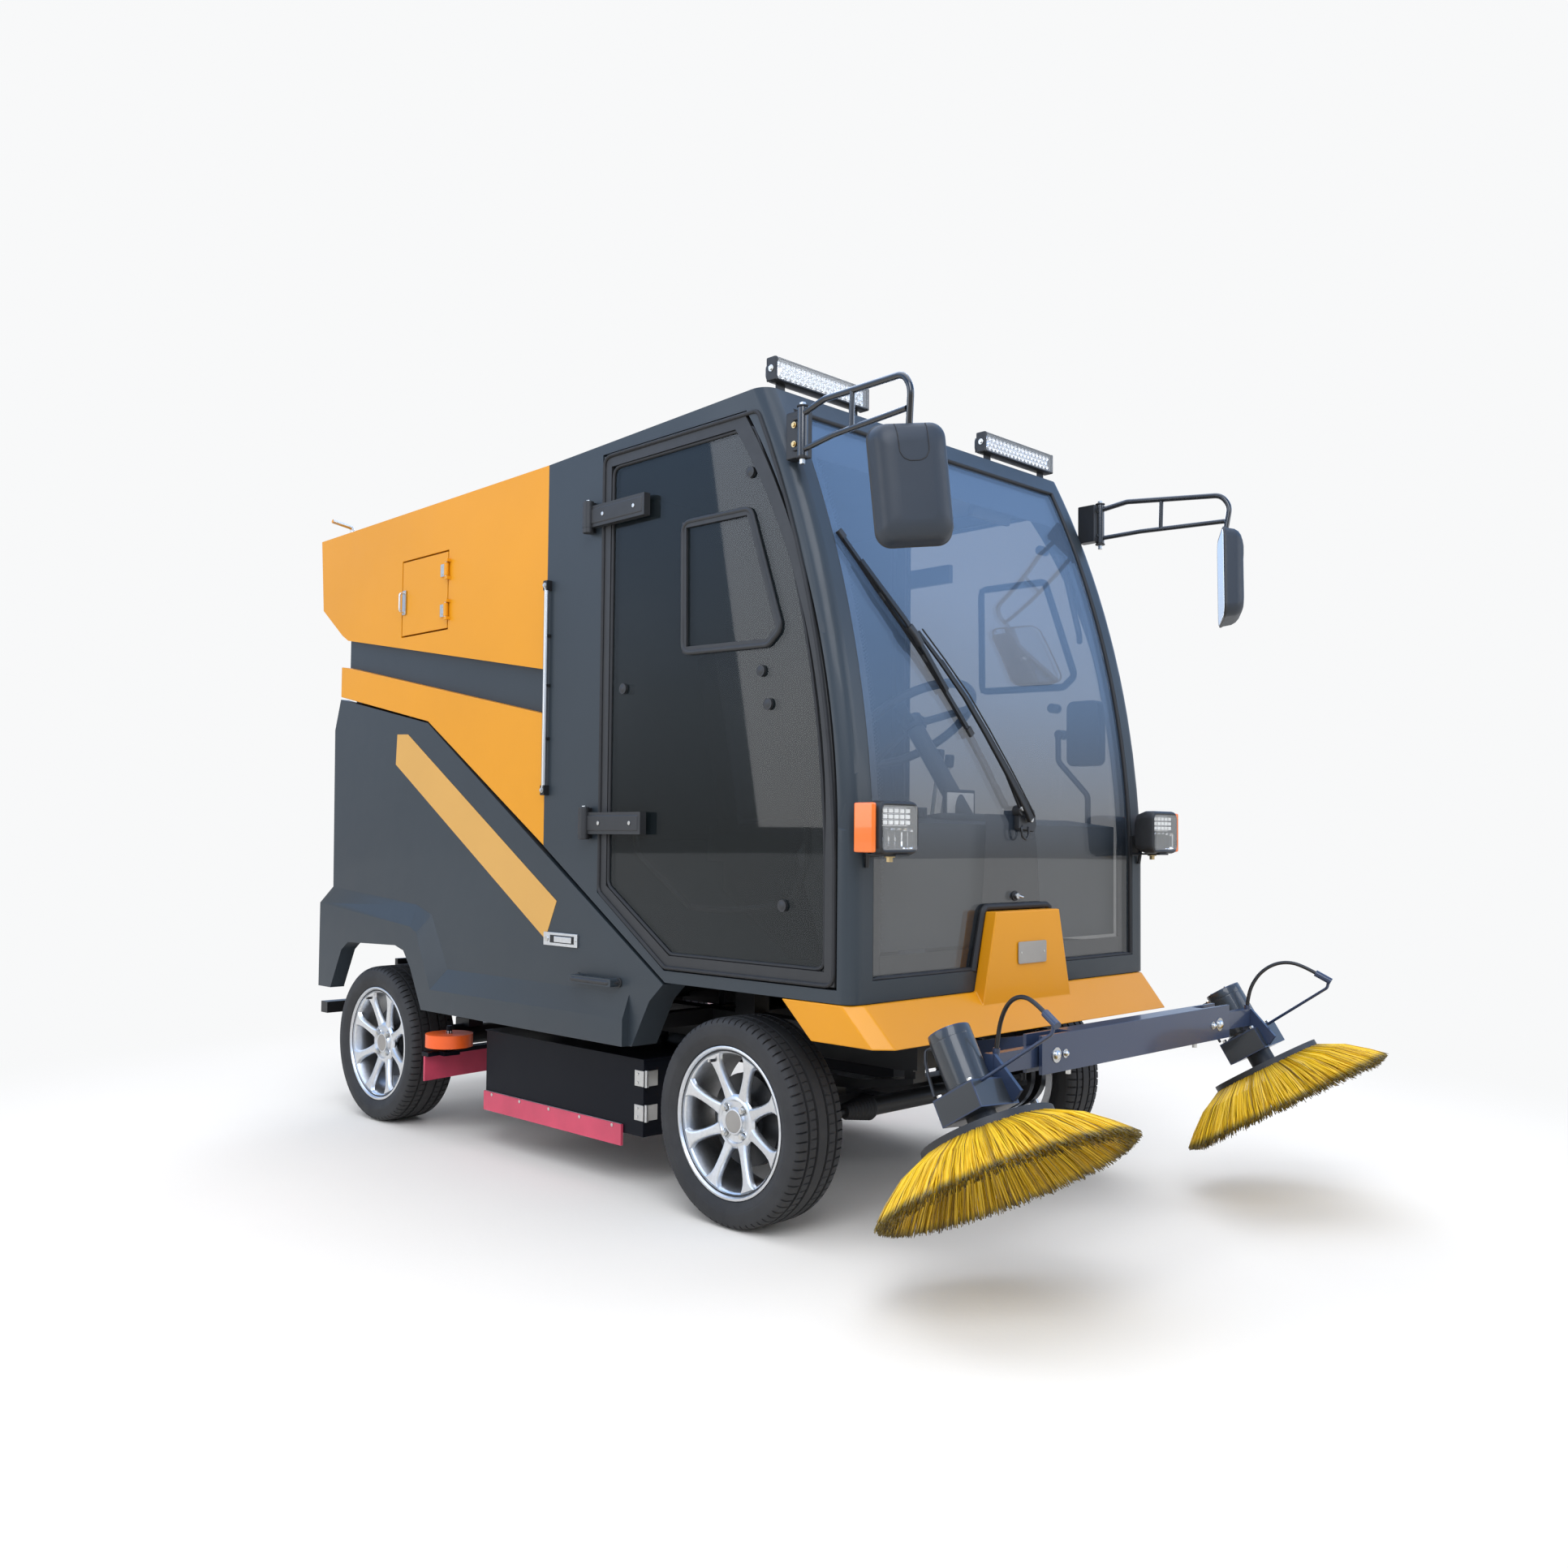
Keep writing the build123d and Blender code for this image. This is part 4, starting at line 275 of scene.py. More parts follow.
# ---- Camera, light and floor ----
CAMERA = (-3053.2, -2585.5, 999.7)
YAW, PITCH, ROLL = 0.78532, 0.03934, 0.008985
FOCAL_PIXELS, FRAME_PIXELS = 1677.97, 1932
SENSOR = 36


def link(obj):
    bpy.context.scene.collection.objects.link(obj)
    return obj


def to_mesh(part, name):
    mesh = bpy.data.meshes.new(name)
    part.to_mesh(mesh)
    part.free()
    return mesh


look = Vector((math.sin(YAW) * math.cos(PITCH), math.cos(YAW) * math.cos(PITCH), math.sin(PITCH)))
level_right = Vector((math.cos(YAW), -math.sin(YAW), 0))
level_up = level_right.cross(look)
camera_right = level_right * math.cos(ROLL) + level_up * math.sin(ROLL)
camera_up = level_up * math.cos(ROLL) - level_right * math.sin(ROLL)
camera_data = bpy.data.cameras.new("camera")
camera_data.sensor_width = SENSOR
camera_data.lens = SENSOR * FOCAL_PIXELS / FRAME_PIXELS
camera = link(bpy.data.objects.new("camera", camera_data))
turn = Matrix((camera_right, camera_up, -look)).transposed()
camera.matrix_world = Matrix.Translation(P(*CAMERA)) @ turn.to_4x4()
bpy.context.scene.camera = camera


def area_light(name, place, target, size, power):
    data = bpy.data.lights.new(name, "AREA")
    data.shape = "RECTANGLE"
    data.size, data.size_y = size
    data.energy = power
    light = link(bpy.data.objects.new(name, data))
    light.location = place
    light.rotation_euler = (Vector(target) - Vector(place)).to_track_quat("-Z", "Y").to_euler()


area_light("key", (-4.5, -4.5, 5.5), (0, 0, 0.8), (4, 4), 250)
area_light("fill", (-6.5, 2.5, 3.0), (0, 0.2, 0.9), (5, 4), 120)
area_light("front", (3.0, -6.5, 3.2), (0, -0.6, 0.9), (4, 3), 90)
area_light("top", (0, 0.3, 6.5), (0, 0, 0), (7, 8), 210)
area_light("rim", (4.5, 4.5, 4.0), (0, 0, 1.0), (4, 3), 120)

BACKGROUND = (0.94, 0.945, 0.95)
AMBIENT, SHOWN, SKY = 0.62, 1.0, 1.5    # the world's strength as light, behind the object, in gloss
world = bpy.data.worlds.new("studio")
world.use_nodes = True
tree = world.node_tree
backdrop = tree.nodes["Background"]
ray = add(tree, "LightPath", {})
feed(tree, backdrop, {
    "Color": (*BACKGROUND, 1),
    "Strength": span(tree, ray.outputs["Is Camera Ray"], AMBIENT, SHOWN),
})
# open sky for what is seen in gloss: pale at the horizon, blue above
heading = add(tree, "TexCoord", {})
parts = add(tree, "SeparateXYZ", {"Vector": heading.outputs["Generated"]})
sky = ramp(tree, parts.outputs["Z"], [
    (0.0, (0.28, 0.27, 0.26)), (0.10, (0.42, 0.46, 0.52)), (0.30, (0.40, 0.60, 0.95)),
    (0.75, (0.22, 0.44, 0.90)), (1.0, (0.55, 0.66, 0.85)),
])
gloss = add(tree, "Background", {"Color": sky, "Strength": SKY})
swap = add(tree, "MixShader", {
    "Fac": ray.outputs["Is Glossy Ray"],
    1: backdrop.outputs["Background"],
    2: gloss.outputs["Background"],
})
feed(tree, tree.nodes["World Output"], {"Surface": swap.outputs["Shader"]})
bpy.context.scene.world = world
bpy.context.scene.view_settings.view_transform = "Standard"

FLOOR_NEAR, FLOOR_FAR = 1.7, 3.6        # distances over which the floor fades out


def floor_material():
    """Pale matt floor that runs into the colour of the backdrop with distance."""
    mat, tree, shader = new_material("studio_floor")
    pale = [(0.3, (0.86, 0.86, 0.86)), (0.7, (0.90, 0.90, 0.90))]
    feed(tree, shader, {"Base Color": ramp(tree, noise(tree, 0.6, 3), pale), "Roughness": 0.85})
    bump(tree, shader, noise(tree, 60, 5), 0.25, 0.002)
    place = add(tree, "NewGeometry", {}).outputs["Position"]
    length = add(tree, "VectorMath", {0: place}, operation="LENGTH").outputs["Value"]
    fade = add(
        tree, "MapRange", {"From Min": FLOOR_NEAR, "From Max": FLOOR_FAR, "Value": length},
        interpolation_type="SMOOTHSTEP",
    )
    glow = add(tree, "Emission", {"Color": (*BACKGROUND, 1)})
    blend = add(tree, "MixShader", {
        "Fac": fade.outputs["Result"], 1: shader.outputs["BSDF"], 2: glow.outputs["Emission"],
    })
    feed(tree, tree.nodes["Material Output"], {"Surface": blend.outputs["Shader"]})
    return mat


part = bmesh.new()
bmesh.ops.create_grid(part, x_segments=1, y_segments=1, size=60)
mesh = to_mesh(part, "floor")
mesh.materials.append(floor_material())
floor = link(bpy.data.objects.new("floor", mesh))
floor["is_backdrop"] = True


# ---- Spray hoses ----
HOSE = (
    (590, -790, 542), (590, -794, 572), (595, -804, 604), (604, -824, 636),
    (617, -854, 659), (630, -890, 667), (642, -926, 658), (652, -958, 640),
)
for name, side in SIDES:
    curve = bpy.data.curves.new(f"spray_hose_{name}", "CURVE")
    curve.dimensions = "3D"
    curve.bevel_depth = 0.005
    curve.bevel_resolution = 4
    spline = curve.splines.new("NURBS")
    spline.points.add(len(HOSE) - 1)
    for point, (x, s, z) in zip(spline.points, HOSE):
        point.co = (*P(side * x, s, z), 1)
    spline.order_u = 3
    spline.use_endpoint_u = True
    spline.resolution_u = 12
    curve.materials.append(M["cable"])
    hose = link(bpy.data.objects.new(f"spray_hose_{name}", curve))
    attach(hose, f"brush_arm_{name}")
    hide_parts(f"hose_{name}")


# ---- Mesh kit ----
EDGE_ANGLE = 0.5            # edges that fold more than this are rounded
EDGE_PROFILE = 0.6
WASHER_THICK = 0.0016


def bridge(part, rings, closed=False, ends=(True, True)):
    """Faces between rings that follow each other, and over the end rings.

    A ring of one point closes the form on its axis.
    """
    pairs = list(zip(rings, rings[1:])) + ([(rings[-1], rings[0])] if closed else [])
    for one, two in pairs:
        count = max(len(one), len(two))
        for k in range(count):
            m = (k + 1) % count
            corners = (one[k % len(one)], one[m % len(one)], two[m % len(two)], two[k % len(two)])
            unique = list(dict.fromkeys(corners))
            if len(unique) > 2:
                part.faces.new(unique)
    for ring, capped in zip((rings[0], rings[-1]), ends):
        if capped and not closed:
            part.faces.new(ring)
    bmesh.ops.recalc_face_normals(part, faces=part.faces)


def round_edges(part, width, segments=2):
    edges = [e for e in part.edges if len(e.link_faces) == 2 and e.calc_face_angle(0) > EDGE_ANGLE]
    bmesh.ops.bevel(
        part, geom=edges, offset=width / 1000, segments=segments, profile=EDGE_PROFILE,
        affect="EDGES", clamp_overlap=True,
    )


def piece(name, mesh, body, replace, subdivide=0):
    """One piece that rides on a body: shaded by the size of its faces, or subdivided."""
    obj = link(bpy.data.objects.new(name, mesh))
    if subdivide:
        modifier = obj.modifiers.new("smooth", "SUBSURF")
        modifier.levels = modifier.render_levels = subdivide
    else:
        weight = obj.modifiers.new("even", "WEIGHTED_NORMAL")
        weight.keep_sharp = True
    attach(obj, body)
    if replace:
        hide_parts(*replace)


class Kit:
    """Collects bevelled solids in one mesh, each with its own material.
    """

    def __init__(self, name, body, side=1):
        self.name, self.body, self.side = name, body, side
        self.bm = bmesh.new()
        self.keys = []

    def at(self, place):
        return place if isinstance(place, Vector) else P(self.side * place[0], *place[1:])

    def take(self, part, key, matrix=None):
        """Move a finished form into the mesh."""
        if matrix is not None:
            part.transform(matrix)
        if key not in self.keys:
            self.keys.append(key)
        index = self.keys.index(key)
        for face in part.faces:
            face.material_index = index
            face.smooth = True
        mesh = to_mesh(part, "part")
        self.bm.from_mesh(mesh)
        bpy.data.meshes.remove(mesh)

    def box(self, key, centre, size, bevel=2, axes=None, segments=2):
        part = bmesh.new()
        bmesh.ops.create_cube(part, size=1)
        part.transform(Matrix.Diagonal((*[v / 1000 for v in size], 1)))
        round_edges(part, bevel, segments)
        matrix = Matrix.Translation(self.at(centre))
        if axes is not None:
            matrix = matrix @ axes.to_4x4()
        self.take(part, key, matrix)

    def rod(self, key, a, b, radius, segments=24, bevel=0.0):
        """Round bar from a to b, its ends rounded by bevel."""
        a, b = self.at(a), self.at(b)
        axis = b - a
        part = bmesh.new()
        bmesh.ops.create_cone(
            part, cap_ends=True, segments=segments, radius1=radius / 1000, radius2=radius / 1000,
            depth=axis.length,
        )
        if bevel:
            round_edges(part, bevel)
        turn = axis.to_track_quat("Z", "Y").to_matrix().to_4x4()
        self.take(part, key, Matrix.Translation((a + b) / 2) @ turn)

    def stack(self, place, axis, bars):
        """Round bars on one axis: (key, start, end, radius, segments, bevel) from a place."""
        place, axis = self.at(place), Vector(axis)
        for key, start, end, *form in bars:
            self.rod(key, place + axis * start / 1000, place + axis * end / 1000, *form)

    def lathe(self, key, profile, origin, axis, segments=48, closed=False):
        """Turned shape: profile is (along axis, radius) in millimetres from origin."""
        origin = self.at(origin)
        turn = Vector(axis).normalized().to_track_quat("Z", "Y").to_matrix()
        part = bmesh.new()
        rings = []
        for along, radius in profile:
            ring = []
            for i in range(segments if radius else 1):
                a = 2 * math.pi * i / segments
                local = Vector((radius * math.cos(a), radius * math.sin(a), along)) / 1000
                ring.append(part.verts.new(origin + turn @ local))
            rings.append(ring)
        bridge(part, rings, closed, ends=(False, False))
        self.take(part, key)

    def tube(self, key, points, radius, segments=12, bend=0.0, closed=False, steps=6):
        """Round tube along points, its corners rounded to a bend radius."""
        path = [self.at(p) for p in points]
        if bend:
            path = rounded(path, bend / 1000, steps, closed)
        part = bmesh.new()
        rings = []
        count = len(path)
        normal = None
        for i, p in enumerate(path):
            before = path[i - 1] if (i or closed) else p
            after = path[(i + 1) % count] if (i < count - 1 or closed) else p
            along = (after - before).normalized()
            if normal is None:
                normal = along.orthogonal().normalized()
            normal = (normal - along * normal.dot(along)).normalized()
            across = along.cross(normal)
            ring = []
            for k in range(segments):
                a = 2 * math.pi * k / segments
                around = normal * math.cos(a) + across * math.sin(a)
                ring.append(part.verts.new(p + around * (radius / 1000)))
            rings.append(ring)
        bridge(part, rings, closed)
        self.take(part, key)

    def slab(self, key, outline, origin, across, along, thick, bevel=1.5):
        """Flat plate: outline in (across, along) millimetres from origin, raised by thick."""
        origin = self.at(origin)
        u, v = Vector(across).normalized(), Vector(along).normalized()
        n = u.cross(v)
        part = bmesh.new()
        face = part.faces.new([part.verts.new(origin + (u * a + v * b) / 1000) for a, b in outline])
        grown = bmesh.ops.extrude_face_region(part, geom=[face])
        top = [g for g in grown["geom"] if isinstance(g, bmesh.types.BMVert)]
        bmesh.ops.translate(part, verts=top, vec=n * thick / 1000)
        bmesh.ops.recalc_face_normals(part, faces=part.faces)
        round_edges(part, bevel)
        self.take(part, key)

    def bolt(self, place, axis, radius=7, height=5, key="zinc", washer=True):
        """Hexagon head, on a washer if there is one."""
        place = self.at(place)
        n = Vector(axis).normalized()
        if washer:
            self.rod(key, place, place + n * WASHER_THICK, radius * 1.45, 20)
            place = place + n * WASHER_THICK
        self.rod(key, place, place + n * height / 1000, radius, 6, bevel=0.6)

    def done(self, replace=(), smooth_angle=0.6, subdivide=0):
        mesh = to_mesh(self.bm, self.name)
        for key in self.keys:
            mesh.materials.append(M[key])
        if not subdivide:
            mesh.set_sharp_from_angle(angle=smooth_angle)
        piece(self.name, mesh, self.body, replace, subdivide)


STRAIGHT = 1.53             # half the corner's angle above which the path runs on
SHARE = 0.48                # most of a side that one corner takes


def rounded(path, radius, steps, closed=False):
    """The path with its corners rounded by arcs."""
    out = []
    count = len(path)
    for i, p in enumerate(path):
        if not closed and i in (0, count - 1):
            out.append(p)
            continue
        a, b = path[i - 1] - p, path[(i + 1) % count] - p
        half = a.angle(b) / 2
        if half > STRAIGHT:
            out.append(p)
            continue
        reach = min(radius / math.tan(half), a.length * SHARE, b.length * SHARE)
        start, end = p + a.normalized() * reach, p + b.normalized() * reach
        for k in range(steps + 1):
            t = k / steps
            out.append(start * (1 - t) ** 2 + p * 2 * t * (1 - t) + end * t * t)
    return out


# ---- Tyres ----
WHEEL_MIDDLE = 588
TYRE_RADIUS = 268
WHEELBASE = 1811
WHEELS = (
    ("front_right", -1, 0), ("front_left", 1, 0),
    ("rear_right", -1, WHEELBASE), ("rear_left", 1, WHEELBASE),
)
PITCHES = 72                # tread blocks round the shoulder
BLOCK = ((0.0, 1), (0.13, 1), (0.17, 0), (0.96, 0))     # share of a pitch, whether cut
SLANT = 0.35                # how far the grooves lean, in pitches at the widest place
HALF_WIDTH = 86
SIDEWALL = (
    (69.7, 181), (69.9, 190), (72, 196), (76.5, 199), (77.5, 201.5), (79.5, 206), (82.5, 213),
    (84.2, 218), (84.2, 220), (85.3, 222), (85.9, 228), (85.6, 236), (84.2, 243), (84.4, 245.5),
    (83.4, 250), (82.2, 253.5),
)
SHOULDER = (                # axial place, radius, depth of the cut
    (80.6, 257, 3.0), (77.5, 260.5, 5.5), (73, 263.6, 6.5), (66, 265.8, 6.5), (57, 266.9, 6.0),
)
RIBS = (
    (52.5, 267.2, 0), (52, 261, 0), (45, 261, 0), (44.5, 267.5, 0), (34, 267.8, 3.0),
    (23, 267.9, 3.0), (22.5, 261, 0), (15, 261, 0), (14.5, 268, 0),
)


def make_tyre(name, side, station):
    # rows run from one bead over the tread to the other
    half = [(a, r, 0) for a, r in SIDEWALL] + list(SHOULDER) + list(RIBS)
    rows = half + [(-a, r, depth) for a, r, depth in reversed(half)]
    columns = [((pitch + share) / PITCHES, cut) for pitch in range(PITCHES) for share, cut in BLOCK]
    part = bmesh.new()
    grid = []
    for a, r, depth in rows:
        line = []
        slant = SLANT * abs(a) / HALF_WIDTH / PITCHES * (1 if a > 0 else -1)
        for turn, cut in columns:
            angle = 2 * math.pi * (turn + slant)
            radius = r - depth * cut
            s, z = station + radius * math.cos(angle), TYRE_RADIUS + radius * math.sin(angle)
            line.append(part.verts.new(P(side * (WHEEL_MIDDLE + a), s, z)))
        grid.append(line)
    bridge(part, grid, ends=(False, False))
    kit = Kit(f"tread_{name}", f"wheel_{name}")
    kit.take(part, "tyre")
    kit.done([f"tyre_{name}"], smooth_angle=0.5)


for name, side, station in WHEELS:
    make_tyre(name, side, station)


# ---- Wheels ----
SPOKES = 8
SPOKE_ROWS = (              # radius, width, depth, distance outwards
    (52, 50, 24, 36), (66, 40, 23, 38), (80, 33, 22, 41), (100, 29, 21, 45), (122, 28, 20, 49),
    (142, 30, 19, 53), (157, 36, 19, 56), (167, 48, 18, 58), (176, 66, 16, 60),
)
SPOKE_PINCH = 0.16          # how much narrower the outer face is
LUGS, LUG_CIRCLE = 4, 46
VALVE_CIRCLE, VALVE_TURN = 163, 1.2


def ring_section(width, depth, corner=0.35):
    """Corner-rounded section: (across, outward) points."""
    points = []
    for cx, cy, start in ((1, 1, 0), (-1, 1, 90), (-1, -1, 180), (1, -1, 270)):
        r = corner * min(width, depth)
        for k in range(4):
            a = math.radians(start + 30 * k)
            across, out = cx * (width / 2 - r), cy * (depth / 2 - r)
            points.append((across + r * math.cos(a), out + r * math.sin(a)))
    return points


def spoke_direction(angle):
    return Vector((0, math.cos(angle), math.sin(angle)))


def make_wheel(name, side, station):
    kit = Kit(f"wheel_{name}_alloy", f"wheel_{name}")
    centre = P(side * WHEEL_MIDDLE, station, TYRE_RADIUS)
    out = Vector((side, 0, 0))
    # barrel with stepped lips
    kit.lathe("alloy", [
        (-76, 172), (-76, 195), (-70, 195), (-69.5, 181), (-45, 176), (20, 171), (50, 176), (69.5, 181),
        (70, 193.5), (71.5, 195), (75, 195), (76, 193), (76, 189), (73, 186.5), (67, 184), (64, 178),
        (60, 175), (45, 171), (20, 165), (-45, 169), (-70, 172),
    ], centre, out, 96, closed=True)
    # hub boss
    kit.lathe("alloy", [
        (20, 0), (20, 50), (34, 66), (43, 70), (48, 66), (50, 60), (50.5, 56), (46, 52), (45, 40),
        (45.5, 36), (51, 33), (51, 0),
    ], centre, out, 64)
    for i in range(SPOKES):
        radial = spoke_direction(2 * math.pi * i / SPOKES + math.radians(22.5))
        across = out.cross(radial)
        part = bmesh.new()
        rings = []
        for radius, width, depth, lift in SPOKE_ROWS:
            ring = []
            for u, w in ring_section(width, depth):
                pinch = 1 - SPOKE_PINCH * (w > 0)
                place = radial * radius + across * u * pinch + out * (lift + w)
                ring.append(part.verts.new(centre + place / 1000))
            rings.append(ring)
        bridge(part, rings)
        kit.take(part, "alloy")
    # centre cap, lug bolts and valve
    kit.lathe("plate", [(50, 30), (53.5, 29), (55, 26), (55.5, 14), (55.8, 0)], centre, out, 48)
    kit.lathe("alloy", [(50, 33), (54.5, 32.5), (55.3, 30.5), (54.8, 28.5), (52, 28)], centre, out, 48)
    for i in range(LUGS):
        radial = spoke_direction(math.radians(45 + 90 * i))
        seat = centre + (radial * LUG_CIRCLE + out * 46) / 1000
        kit.lathe("zinc", [(-2, 13), (1, 12.6), (3, 11)], seat, out, 24)
        kit.stack(seat, out, (("zinc", 0, 13, 9.2, 6, 1.0), ("zinc", 13, 15, 6.0, 16, 0.6)))
    stem = centre + (spoke_direction(VALVE_TURN) * VALVE_CIRCLE + out * 60) / 1000
    kit.stack(stem, out, (("rubber", 0, 22, 4.2, 12, 0.6), ("zinc", 22, 28, 3.2, 12, 0.5)))
    # brake disc and drum behind the spokes
    kit.lathe("black", [(-20, 0), (-20, 120), (8, 120), (8, 62), (20, 58), (20, 0)], centre, out, 64)
    kit.done([f"rim_{name}"], smooth_angle=0.7)


for name, side, station in WHEELS:
    make_wheel(name, side, station)


# ---- Brush bristles ----
BRUSH = Vector((651, -810, 374))
LEAN, SPLAY = math.radians(31), math.radians(4)
DISC_THICK = 16
STRANDS = 3400
ROOT, REACH, DROP = 122, 303, 114       # radius of the inmost roots, of the tips, and their drop


def brush_axes(side):
    normal = Vector((
        -side * math.sin(SPLAY), math.cos(SPLAY) * math.sin(LEAN), math.cos(SPLAY) * math.cos(LEAN),
    ))
    first = Vector((0, math.cos(LEAN), -math.sin(LEAN)))
    return normal, first, normal.cross(first)


def bristle_material():
    """Yellow polypropylene strands, soiled towards the tips, darkened at the root under the disc and on
    the inner strands as painted shade.
    """
    mat, tree, shader = new_material("bristle_plastic")
    strand = add(tree, "Attribute", {}, attribute_name="strand").outputs["Color"]
    split = add(tree, "SeparateColor", {"Color": strand})
    # along the strand: painted shade at the root under the disc, then bright yellow, then soiled dark at
    # the tip
    along = ramp(tree, split.outputs["Red"], [
        (0.0, (0.50, 0.32, 0.012)), (0.25, (0.95, 0.68, 0.03)), (0.88, (0.95, 0.66, 0.03)),
        (1.0, (0.12, 0.09, 0.02)),
    ])
    # tone: varies at random per strand, and is darker on the inner strands as painted shade
    tone_and_shade = ramp(tree, split.outputs["Green"], [
        (0.0, (0.16, 0.13, 0.08)), (0.10, (0.55, 0.48, 0.32)), (0.2, (0.9, 0.86, 0.76)),
        (1.0, (1.0, 1.0, 1.0)),
    ])
    mix = add(
        tree, "Mix", {"Factor": 1.0, "A": along, "B": tone_and_shade}, data_type="RGBA", blend_type="MULTIPLY",
    )
    feed(tree, shader, {"Base Color": mix.outputs["Result"], "Roughness": 0.38})
    return mat


M["bristle"] = bristle_material()


def make_bristles(name, side):
    """Three-sided strands in a splayed ring; the colour layer holds place along, and a tone that varies at
    random and is darker on the inner strands as painted shade.
    """
    normal, first, second = brush_axes(side)
    centre = P(side * BRUSH.x, BRUSH.y, BRUSH.z)
    verts, faces, colors = [], [], []
    for n in range(STRANDS):
        angle = 2 * math.pi * (n + rng.random() * 3) / STRANDS + rng.gauss(0, 0.012)
        outer = math.sqrt(rng.random())
        root = ROOT + 26 * outer + rng.random() * 4
        reach = REACH - 42 * (1 - outer) - rng.random() * 9
        drop = DROP + 20 * (1 - outer) + rng.random() * 8
        lag = rng.gauss(0, 0.022)
        # inner strands get the darker tones as painted shade; the rest vary at random
        tone_and_shade = rng.random() * (0.12 + 0.88 * outer)
        radius = rng.uniform(1.0, 1.5)
        rings = []
        for t in (0.0, 0.4, 0.75, 1.0):
            a = angle + lag * t * t
            radial = first * math.cos(a) + second * math.sin(a)
            r = root + (reach - root) * (t ** 0.88)
            d = DISC_THICK - 2 + (drop - DISC_THICK + 2) * (t ** 1.25)
            p = centre + (radial * r - normal * d) / 1000
            around = normal.cross(radial)
            rings.append(len(verts))
            for q in range(3):
                b = 2 * math.pi * q / 3 + n
                verts.append(p + (around * math.cos(b) + normal * math.sin(b)) * radius / 1000)
                colors.append((t, tone_and_shade, 0, 1))
        for one, two in zip(rings, rings[1:]):
            for q in range(3):
                m = (q + 1) % 3
                faces.append((one + q, one + m, two + m, two + q))
        faces.append((rings[-1], rings[-1] + 1, rings[-1] + 2))
    mesh = bpy.data.meshes.new(f"bristle_strands_{name}")
    mesh.from_pydata(verts, [], faces)
    layer = mesh.color_attributes.new("strand", "FLOAT_COLOR", "POINT")
    layer.data.foreach_set("color", [c for color in colors for c in color])
    mesh.materials.append(M["bristle"])
    obj = link(bpy.data.objects.new(f"bristle_strands_{name}", mesh))
    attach(obj, f"brush_{name}")
    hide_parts(f"bristles_{name}")


for name, side in SIDES:
    make_bristles(name, side)


# ---- Panels: the carried solids with rounded edges ----
CREASE = 0.22               # folds between this angle and EDGE_ANGLE stay crisp
BODY_OF = {
    member: body
    for body, members in frame["record"]["behaviour"]["bodies"].items() for member in members
}


def soften(node, key, width):
    """The node's own form with its sharp edges rounded, as folded and painted sheet has them."""
    part = bmesh.new()
    part.from_mesh(nodes[node].data)
    bmesh.ops.remove_doubles(part, verts=part.verts, dist=1e-5)
    bmesh.ops.dissolve_limit(part, angle_limit=0.02, verts=part.verts, edges=part.edges)
    for edge in part.edges:
        fold = edge.calc_face_angle(0) if len(edge.link_faces) == 2 else 0
        edge.smooth = not CREASE < fold <= EDGE_ANGLE
    round_edges(part, width)
    for face in part.faces:
        face.smooth = True
    mesh = to_mesh(part, f"{node}_skin")
    mesh.materials.append(M[key])
    piece(f"{node}_skin", mesh, BODY_OF[node], [node])


for node, key, width in (
    ("cab_shell", "grey", 3), ("water_tank", "yellow", 5), ("waist_panel", "grey", 2),
    ("lower_band", "yellow", 3), ("tailgate", "grey", 4), ("front_bumper", "yellow", 7),
    ("side_panel_right", "grey", 3), ("side_panel_left", "grey", 3), ("brush_beam", "brush_blue", 3),
    ("filler_flap", "yellow", 2), ("body_frame", "black", 2), ("chassis_frame", "black", 2.5),
    ("front_axle", "black", 3), ("scrub_deck", "navy", 3), ("dashboard", "inner", 8),
    ("squeegee_frame", "navy", 1.5), ("battery_pack", "plastic", 6), ("hopper", "steel", 2),
    ("indicator_lenses", "amber", 5),
):
    soften(node, key, width)


# ---- Cab front: border of the windscreen, centre panel, washer nozzle ----
KNEE_S, KNEE_Z = -427, 950
CURVE_S, CURVE_Z, CURVE_R = 2340.64, 880.37, 2768.51
GLASS_OUT = 10              # outer face of the windscreen behind the cab's front line
BEHIND, FRIT_THICK = -9.2, 0.8          # black border just behind the glass's inner face


def front_station(z):
    """Station of the cab's front line at a height."""
    if z < KNEE_Z:
        return KNEE_S
    return CURVE_S - math.sqrt(CURVE_R ** 2 - (z - CURVE_Z) ** 2)


def screen(x, z, stand=0.0):
    """A place that stands off the windscreen's outer face."""
    rise = (front_station(z + 0.5) - front_station(z - 0.5)) if z > KNEE_Z else 0
    slope = math.sqrt(1 + rise * rise)
    return P(x, front_station(z) + GLASS_OUT - stand / slope, z + stand * rise / slope)


def screen_normal(x, z):
    return (screen(x, z, 1) - screen(x, z, 0)).normalized()


def screen_strip(kit, left, right, rows):
    """Thin black sheet behind the glass between two outlines, given as functions of height."""
    back = BEHIND - FRIT_THICK
    corners = ((left, BEHIND), (right, BEHIND), (right, back), (left, back))
    part = bmesh.new()
    bridge(part, [
        [part.verts.new(screen(edge(z), z, stand)) for edge, stand in corners] for z in rows
    ])
    kit.take(part, "frit")


def heights(a, b, step=40):
    """Evenly spaced heights from a to b."""
    count = max(1, round(abs(b - a) / step))
    return [a + (b - a) * i / count for i in range(count + 1)]


